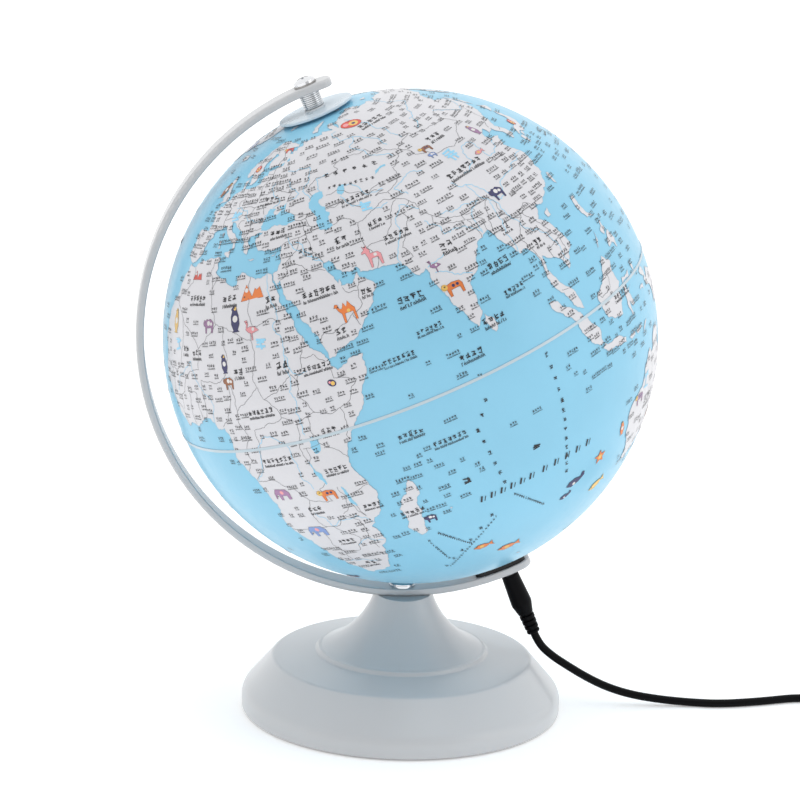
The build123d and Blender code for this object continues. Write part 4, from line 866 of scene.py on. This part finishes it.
# Outline, colour, longitude, latitude, half-width in metres, and turn in degrees.
PICTURES = [
    (OVAL, "red", 83.2, 67.1, 0.0062, 70), (BEAST, "red", 32.9, 66.1, 0.0032, 0),
    (OVAL, "red", 13.1, 60.8, 0.0026, 0), (UPRIGHT, "brown", -6.6, 54.5, 0.0046, -20),
    (PEAKS, "red", 0.7, 33.4, 0.0042, 0), (UPRIGHT, "purple", 118.2, 42.1, 0.0042, 0),
    (BEAST, "brown", 95.6, 45.1, 0.0040, 0), (WOOLLY, "blue", 95.5, 42.7, 0.0024, 0),
    (FISH, "pink", 109.2, 37.1, 0.0036, 0), (WOOLLY, "navy", 101.2, 27.7, 0.0046, 0),
    (HORNED, "pink", 61.5, 28.0, 0.0062, 0), (BEAST, "orange", 76.1, 16.2, 0.0062, 0),
    (WADER, "purple", 74.6, 21.2, 0.0034, 0), (PEAKS, "orange", 25.5, 28.5, 0.0070, 0),
    (HUMPED, "orange", 50.9, 19.8, 0.0058, 0), (WADER, "pink", 24.4, 21.4, 0.0050, 0),
    (UPRIGHT, "navy", 19.3, 24.0, 0.0064, 0), (WOOLLY, "purple", 9.0, 23.4, 0.0046, 0),
    (UPRIGHT, "yellow", -9.0, 24.1, 0.0060, 0), (UPRIGHT, "navy", 14.1, 16.1, 0.0046, 0),
    (WOOLLY, "brown", 14.6, 12.6, 0.0040, 0), (OVAL, "navy", 42.2, 8.6, 0.0026, 60),
    (TRUNKED, "purple", 17.4, -9.1, 0.0056, 0), (BEAST, "orange", 29.5, -10.6, 0.0060, 0),
    (TRUNKED, "blue", 19.4, -18.4, 0.0062, 0), (WOOLLY, "navy", 49.7, -21.9, 0.0034, 0),
    (FISH, "orange", 58.4, -36.4, 0.0058, 0), (FISH, "orange", 66.2, -41.4, 0.0068, 0),
    (WHALE, "navy", 91.2, -29.8, 0.0066, 10), (WHALE, "navy", 87.6, -32.6, 0.0040, 10),
    (FISH, "yellow", 102.2, -35.7, 0.0064, 20), (STAR, "orange", 100.6, -27.5, 0.0048, 0),
    (BEAST, "purple", 119.3, -21.4, 0.0056, 0), (UPRIGHT, "orange", 110.3, -24.6, 0.0040, 0),
    (WOOLLY, "brown", 134.0, -29.0, 0.0056, 0), (TRUNKED, "blue", 148.5, -24.0, 0.0044, 0),
    (BEAST, "brown", -105.0, 46.0, 0.0066, 0), (WADER, "pink", -82.0, 29.0, 0.0044, 0),
    (HORNED, "brown", -118.0, 57.0, 0.0064, 0), (WOOLLY, "purple", -150.0, 64.0, 0.0050, 0),
    (PEAKS, "orange", -89.0, 19.0, 0.0036, 0), (BEAST, "yellow", -58.0, -6.0, 0.0060, 0),
    (WADER, "red", -50.0, -14.0, 0.0048, 0), (HORNED, "brown", -68.0, -17.5, 0.0044, 0),
    (UPRIGHT, "navy", -69.0, -46.0, 0.0042, 0), (WHALE, "navy", -35.0, 38.0, 0.0074, 0),
    (WHALE, "blue", -140.0, 24.0, 0.0080, 0), (FISH, "orange", -30.0, 8.0, 0.0056, 0),
    (FISH, "yellow", 165.0, 12.0, 0.0056, 0), (STAR, "red", 178.0, -8.0, 0.0044, 0),
    (WHALE, "navy", -115.0, -38.0, 0.0078, 0), (FISH, "pink", -15.0, -28.0, 0.0054, 0),
    (UPRIGHT, "navy", 40.0, -73.0, 0.0044, 0), (UPRIGHT, "navy", 95.0, -72.0, 0.0044, 0),
    (UPRIGHT, "navy", -65.0, -71.0, 0.0044, 0), (WOOLLY, "blue", -40.0, 68.0, 0.0046, 0),
    (OVAL, "red", 137.0, 36.8, 0.0030, 0), (WHALE, "navy", 4.0, -38.0, 0.0066, 0),
]


def make_pictures():
    """Coloured pictures with a thin dark outline and an eye. Returns the room each one takes."""
    prints = {name: Print(f"pictures_{name}", PICTURE_UP, printed(f"ink_{name}", colour, 0.18))
              for name, colour in COLOURS.items()}
    spots = {name: Print(f"spots_{name}", SPOT_UP, printed(f"ink_spot_{name}", COLOURS[name], 0.12))
             for name in sorted({spot for *_, spot in SPOTS})}
    lines = Print("pictures_lines", LINE_UP, printed("ink_picture_lines", (0.06, 0.045, 0.05)))
    taken = []
    for outline, colour, longitude, latitude, size, turn in PICTURES:
        place = Place(longitude, latitude, size, turn)
        chart = Chart(place.out)
        ring = [chart.flat(place.at(Vector(point))) for point in outline]
        prints[colour].fill(chart, ring, PICTURE_STEP)
        lines.ribbon(chart, ring + ring[:1], PICTURE_LINE_WIDTH)
        for shape, middle, radius, spot in SPOTS:
            if shape is outline and spot != colour:
                edge = [Vector(middle) + Vector((radius * c, radius * d)) for c, d in ROUND]
                spots[spot].fill(chart, [chart.flat(place.at(point)) for point in edge], PICTURE_STEP)
        eye = Vector(outline[0]) * 0.72 + Vector((0.0, 0.12))
        lines.stroke(place, eye, eye + Vector((0.12, 0.0)), 0.10)
        taken.append((place.out, size / GLOBE_R))
    for layer in [*prints.values(), *spots.values(), lines]:
        if layer.points:
            layer.make()
    return taken


# ---- names: rows of plain marks, with no lettering ----
def block_mark(ink, place, x, y, size, rng):
    """Square scribble of slanting strokes."""
    width, slant = size * 0.145, size * 0.24
    for height in rng.sample((0.07, 0.30, 0.52, 0.74, 0.93), 3):
        start, end = x + size * rng.uniform(0.0, 0.22), x + size * rng.uniform(0.70, 0.92)
        level = y + size * height
        ink.stroke(place, Vector((start, level)), Vector((end, level + rng.uniform(-slant, slant))), width)
    for across in rng.sample((0.34, 0.50, 0.66), rng.choice((1, 2))):
        low, high = y + size * rng.uniform(0.0, 0.3), y + size * rng.uniform(0.7, 1.0)
        foot = x + size * across
        ink.stroke(place, Vector((foot, low)), Vector((foot + rng.uniform(-slant, slant), high)), width)


def thin_mark(ink, place, x, y, size, rng):
    """One or two leaning bars with a loose dot between them."""
    width, span, lean = size * 0.20, size * 0.46, size * 0.10
    ink.stroke(place, Vector((x, y)), Vector((x + lean, y + size * rng.choice((0.7, 1.0)))), width)
    if rng.random() < 0.75:
        ink.stroke(place, Vector((x + span, y)), Vector((x + span - lean, y + size * 0.72)), width)
    if rng.random() < 0.8:
        dot = Vector((x + span / 2, y + size * rng.choice((0.1, 0.5, 0.9))))
        ink.stroke(place, dot, dot + Vector((width, 0.0)), width)


def bars_mark(ink, place, x, y, size, rng):
    """A thick leaning bar beside a thin one, well apart."""
    lean = size * 0.28
    for across, width, height in ((0.15, 0.22, 0.85), (0.58, 0.09, rng.uniform(0.55, 0.85))):
        foot = Vector((x + size * across, y))
        ink.stroke(place, foot, foot + Vector((lean, size * height)), size * width)


def name_rows(ink, place, blocks, size, rng):
    """Two centred rows: square marks above, and more and narrower marks below."""
    gap, small = 1.12, size * 0.60
    long = size * gap * blocks
    for i in range(blocks):
        block_mark(ink, place, size * gap * i - long / 2, 0.0, size, rng)
    count = max(3, round(long / small / 0.72))
    for i in range(count):
        thin_mark(ink, place, long * (i / count - 0.5), -small - size * 0.28, small, rng)


def row_of_marks(ink, mark, start, end, count, size, rng, taken):
    """Spaced marks along a line between two places."""
    for i in range(count):
        share = i / (count - 1)
        place = Place(start[0] + (end[0] - start[0]) * share, start[1] + (end[1] - start[1]) * share)
        mark(ink, place, -size / 2, -size / 2, size, rng)
        taken.append((place.out, size / GLOBE_R))


# Larger names: longitude, latitude, square marks, and size in metres.
LARGE_NAMES = [
    (66.2, 17.3, 4, 0.0030), (67.2, 11.2, 6, 0.0020), (58.5, 8.4, 7, 0.0021), (89.0, 15.9, 4, 0.0028),
    (89.1, 10.8, 5, 0.0021), (81.5, 7.8, 4, 0.0028), (73.4, 4.0, 4, 0.0028), (55.0, 32.8, 2, 0.0030),
    (69.8, 29.6, 5, 0.0024), (80.0, 23.2, 2, 0.0034), (45.5, 24.4, 6, 0.0027), (35.0, 39.4, 3, 0.0026),
    (17.5, 27.4, 3, 0.0030), (31.6, 25.6, 2, 0.0030), (3.5, 17.9, 3, 0.0026), (18.6, 13.9, 2, 0.0030),
    (31.6, 13.4, 2, 0.0034), (40.0, 11.7, 6, 0.0023), (22.2, 6.3, 6, 0.0024), (21.5, -2.8, 7, 0.0024),
    (37.6, 0.4, 3, 0.0026), (35.0, -6.6, 5, 0.0023), (23.9, -13.6, 3, 0.0025), (38.6, -15.2, 4, 0.0023),
    (46.6, -19.3, 5, 0.0023), (25.0, -22.4, 4, 0.0022), (24.4, -31.0, 2, 0.0028),
    (103.5, 46.4, 3, 0.0028), (63.6, 41.3, 6, 0.0023), (66.0, 33.8, 3, 0.0024), (96.0, 21.0, 2, 0.0028),
    (101.5, 15.6, 2, 0.0026), (44.0, 33.4, 3, 0.0023), (48.2, 16.2, 2, 0.0028), (57.0, 21.6, 2, 0.0026),
    (3.0, 28.2, 5, 0.0026), (-2.0, 18.6, 2, 0.0028), (31.0, 48.8, 3, 0.0024), (94.0, 63.0, 5, 0.0028),
    (54.5, -4.6, 5, 0.0024), (62.0, -8.0, 7, 0.0022), (-100.0, 58.0, 3, 0.0034), (-99.0, 40.0, 5, 0.0032),
    (-102.5, 24.0, 3, 0.0028), (-52.0, -10.0, 2, 0.0036), (-65.5, -35.0, 3, 0.0030),
    (-74.5, -10.0, 2, 0.0030), (128.0, -24.0, 4, 0.0036), (-42.0, 74.0, 4, 0.0030), (118.0, -1.0, 6, 0.0023),
    (145.0, 30.0, 3, 0.0028), (100.0, 35.5, 7, 0.0030), (-40.0, 26.0, 3, 0.0048), (-20.0, -14.0, 3, 0.0048),
    (-150.0, 8.0, 3, 0.0056), (-130.0, -22.0, 3, 0.0056), (160.0, 26.0, 3, 0.0048), (20.0, -82.0, 4, 0.0034),
]
# Spaced marks: kind, first place, last place, number of marks, and size in metres.
SPACED_NAMES = [
    ("bars", (63.8, -21.9), (77.5, -21.8), 6, 0.0042), ("bars", (81.4, -21.7), (95.5, -21.6), 5, 0.0042),
    ("block", (62.0, -16.8), (80.5, -16.3), 2, 0.0046), ("block", (89.5, -1.9), (89.7, -10.5), 5, 0.0021),
    ("block", (89.7, -10.5), (87.8, -25.5), 9, 0.0021), ("block", (72.5, -3.9), (68.4, -8.2), 3, 0.0021),
    ("block", (68.4, -8.2), (70.3, -20.5), 6, 0.0021), ("thin", (72.2, -24.3), (79.9, -31.1), 15, 0.0016),
    ("block", (43.5, -39.8), (64.3, -27.2), 6, 0.0021), ("thin", (44.8, -40.6), (65.6, -28.0), 22, 0.0015),
    ("thin", (45.8, -27.8), (46.9, -36.3), 10, 0.0018), ("thin", (49.5, -26.5), (56.0, -33.5), 16, 0.0019),
    ("block", (56.2, 51.0), (76.0, 48.6), 6, 0.0026), ("block", (56.0, 47.0), (72.0, 44.8), 9, 0.0017),
    ("bars", (-160.0, -2.0), (-120.0, -2.0), 7, 0.0052), ("bars", (-45.0, 20.0), (-25.0, 14.0), 8, 0.0044),
]
# The continents' names, in pale blue: longitude and latitude of each mark.
PALE_SIZE, PALE_ROOM = 0.0076, 0.0050
PALE_MARKS = [(100.9, 40.0), (65.4, 39.3), (26.9, 18.2), (-6.4, 20.0), (14.0, 47.0), (-95.0, 50.0),
              (-85.0, 43.5), (-60.0, -3.0), (-56.0, -22.0), (124.0, -19.0), (142.0, -22.0), (90.0, -80.0)]


JITTER = 0.22                # how far a small name may stray, as a share of the spacing


def scattered(rng, latitudes, north_step, east_step):
    """Jittered places in rows along the parallels. The steps are in degrees at the equator."""
    latitude = latitudes[0]
    while latitude < latitudes[1]:
        wide = east_step / max(0.12, cos(radians(latitude)))
        longitude = rng.uniform(0, wide)
        while longitude < 360.0:
            east = longitude + rng.uniform(-JITTER, JITTER) * wide
            yield east, latitude + rng.uniform(-JITTER, JITTER) * north_step
            longitude += wide
        latitude += north_step


def near_land(longitude, latitude, reach=3.2):
    """Whether there is land a few degrees to any side."""
    wide = reach / max(0.2, cos(radians(latitude)))
    sides = ((wide, 0), (-wide, 0), (0, reach), (0, -reach))
    return any(is_land(unit(longitude + x, latitude + y)) for x, y in sides)


# Regions with more names: west, east, south and north limits in degrees.
CROWDED = [(-11, 45, 36, 60), (28, 62, 12, 42), (66, 92, 7, 32), (92, 128, 8, 42), (-100, -66, 28, 50)]
# Regions with the most, within the same kind of limits.
THICK = [(-11, 40, 36, 57), (26, 50, 29, 44), (97, 109, 9, 24), (106, 123, 21, 41)]
# Seas with names of their own.
NAMED_SEAS = [(46, 67, -23, -3), (69, 77, -3, 14), (92, 130, -12, 20), (125, 150, 5, 35), (0, 30, 66, 74)]


SMALL_LATITUDES = (-66.0, 78.0)
SMALL_NORTH_STEP, SMALL_EAST_STEP = 2.0, 2.9
# Room left round a small name, in radians: elsewhere, in crowded regions and in the thickest.
OPEN_ROOM, CROWDED_ROOM, THICK_ROOM = 0.017, 0.010, 0.005
# Chances of a name at a place at sea: near land or in a named sea, and far out.
NEAR_CHANCE, FAR_CHANCE = 0.55, 0.03


def within(areas, east, latitude):
    return any(w < east < e and low < latitude < high for w, e, low, high in areas)


def small_names(rng, taken):
    """Small names: on all land, closer in the crowded regions, and few at sea but for the coasts."""
    land_ink = Print("names_land", SMALL_NAME_UP, INK_MATERIAL)
    sea_ink = Print("names_sea", SMALL_NAME_UP, INK_MATERIAL)
    for longitude, latitude in scattered(rng, SMALL_LATITUDES, SMALL_NORTH_STEP, SMALL_EAST_STEP):
        place = Place(longitude, latitude)
        east = (longitude + 180.0) % 360.0 - 180.0
        named_sea = within(NAMED_SEAS, east, latitude)
        spare = OPEN_ROOM
        if named_sea or within(CROWDED, east, latitude):
            spare = THICK_ROOM if within(THICK, east, latitude) else CROWDED_ROOM
        blocks, size = rng.choice((2, 3, 3, 4, 5)), rng.uniform(0.00110, 0.00140)
        room = blocks * size * 0.5 / GLOBE_R
        gap = room * 0.55 + spare
        if any(place.out.angle(out) < other + gap for out, other in taken):
            continue
        if is_land(place.out):
            name_rows(land_ink, place, blocks, size, rng)
        elif rng.random() < (NEAR_CHANCE if named_sea or near_land(longitude, latitude) else FAR_CHANCE):
            name_rows(sea_ink, place, blocks, size, rng)
        taken.append((place.out, room * 0.75))
    land_ink.make()
    sea_ink.make()


def make_names(taken):
    rng = random.Random(11)
    large = Print("names_large", LINE_UP, INK_MATERIAL)
    for longitude, latitude, blocks, size in LARGE_NAMES:
        place = Place(longitude, latitude)
        name_rows(large, place, blocks, size, rng)
        taken.append((place.out, blocks * size * 0.5 / GLOBE_R))
    marks = {"block": block_mark, "thin": thin_mark, "bars": bars_mark}
    for kind, start, end, count, size in SPACED_NAMES:
        row_of_marks(large, marks[kind], start, end, count, size, rng, taken)
    large.make()
    pale = Print("names_pale", SPOT_UP, printed("ink_pale", LIGHT_BLUE))
    for longitude, latitude in PALE_MARKS:
        place = Place(longitude, latitude)
        block_mark(pale, place, -PALE_SIZE / 2, -PALE_SIZE / 2, PALE_SIZE, rng)
        taken.append((place.out, PALE_ROOM / GLOBE_R))
    pale.make()
    small_names(rng, taken)


is_land = make_map()
INK_MATERIAL = printed("ink_names", INK, 0.2)
make_names(make_pictures())


# ---- materials of the CAD pieces ----
def painted(name, colour):
    """Satin paint with a fine orange-peel surface."""
    paint = Paint(name)
    cloud = paint.noise(9.0, 5.0)
    paint.tint(cloud, colour, 0.975, 1.02)
    fine = paint.noise(2200.0, 2.0)
    paint.link(paint.between(fine, 0.28, 0.36), "Roughness")
    paint.bump(fine, 0.00002, 0.35)
    paint.fixed(Coat_Weight=0.30, Coat_Roughness=0.20)
    return paint.material


def frosted(name, colour, through, roughness):
    """Frosted, partly see-through plastic."""
    paint = Paint(name)
    cloud = paint.noise(60.0, 3.0)
    paint.tint(cloud, colour, 0.95, 1.03)
    paint.link(paint.between(paint.noise(90.0, 2.0), roughness * 0.85, roughness * 1.15), "Roughness")
    paint.fixed(Transmission_Weight=through, IOR=1.46)
    return paint.material


def foam(name, colour):
    paint = Paint(name)
    cells = paint.noise(2600.0, 5.0)
    paint.tint(cells, colour, 0.5, 1.3, 0.35, 0.65)
    paint.link(paint.between(cells, 0.85, 0.98), "Roughness")
    paint.bump(cells, 0.0003, 0.9)
    return paint.material


STAND = (0.540, 0.552, 0.568)
chrome = metal("chrome", (0.74, 0.75, 0.77), 0.08, (1.0, 1.0, 12.0), 0.05)
zinc = metal("zinc", (0.56, 0.57, 0.59), 0.30)
black = plastic("black_plastic", (0.006, 0.006, 0.007), 0.30, 1400.0, 0.30)
pvc = plastic("plug_pvc", (0.0022, 0.0022, 0.003), 0.42, 1800.0, 0.08)
white = plastic("white_plastic", (0.74, 0.76, 0.78), 0.40)
FINISHES = [
    (painted("stand_paint", STAND), ("base_shell", "meridian_arm")),
    (printed("ink_sea", SEA), ("globe_north_shell", "globe_south_shell")),
    (plastic("tape_pale", (0.50, 0.60, 0.66), 0.35, 1200.0), ("equator_tape",)),
    (chrome, ("arm_bolt", "arm_bolt_washer", "north_bolt", "dc_plug_barrel")),
    # The north bolt's washer gets dark metal as painted shade: it stands in for the dark line of shade under
    # the bolt head.
    (metal("washer_dark_as_painted_shade", (0.34, 0.33, 0.32), 0.30), ("north_bolt_washer",)),
    (zinc, ("arm_bolt_nut", "arm_bolt_nut_washer", "north_lock_nut", "north_thrust_washer", "dc_jack_nut",
            "plate_screws")),
    (black, ("bottom_plate", "lamp_bracket", "lamp_post", "dc_jack")),
    (pvc, ("dc_plug_grip", "usb_plug_grip")),
    (white, ("globe_joint_ring", "south_collar", "north_bush", "usb_plug_tongue")),
    (metal("sleeve_satin", (0.66, 0.68, 0.70), 0.20, (1.0, 1.0, 1.0)), ("north_spacer",)),
    (frosted("cap_frosted", (0.64, 0.75, 0.83), 0.08, 0.30), ("north_disc",)),
    (frosted("diffuser_frosted", (0.85, 0.86, 0.86), 0.45, 0.40), ("lamp_diffuser",)),
    (metal("cast_iron", (0.16, 0.16, 0.165), 0.62, (1.0, 1.0, 1.0), 0.4), ("base_weight",)),
    # Dark foam foot pad; its near-black rim just below the base also serves as a painted shadow, the contact
    # shadow line round the base.
    (foam("foot_foam_and_painted_shadow", (0.035, 0.035, 0.038)), ("foot_pad",)),
    (foam("tie_rubber", (0.030, 0.030, 0.032)), ("cord_tie",)),
    (plastic("board_white", (0.68, 0.70, 0.67), 0.45, 600.0), ("led_board",)),
    (frosted("led_lens", (0.85, 0.78, 0.36), 0.2, 0.25), ("leds",)),
    (plastic("wire_red", (0.28, 0.02, 0.02), 0.40, 2000.0), ("lamp_leads",)),
    (metal("plug_steel", (0.66, 0.67, 0.69), 0.24, (12.0, 1.0, 1.0)), ("usb_plug_shell",)),
]
for material, names in FINISHES:
    for name in names:
        repaint(name, material)
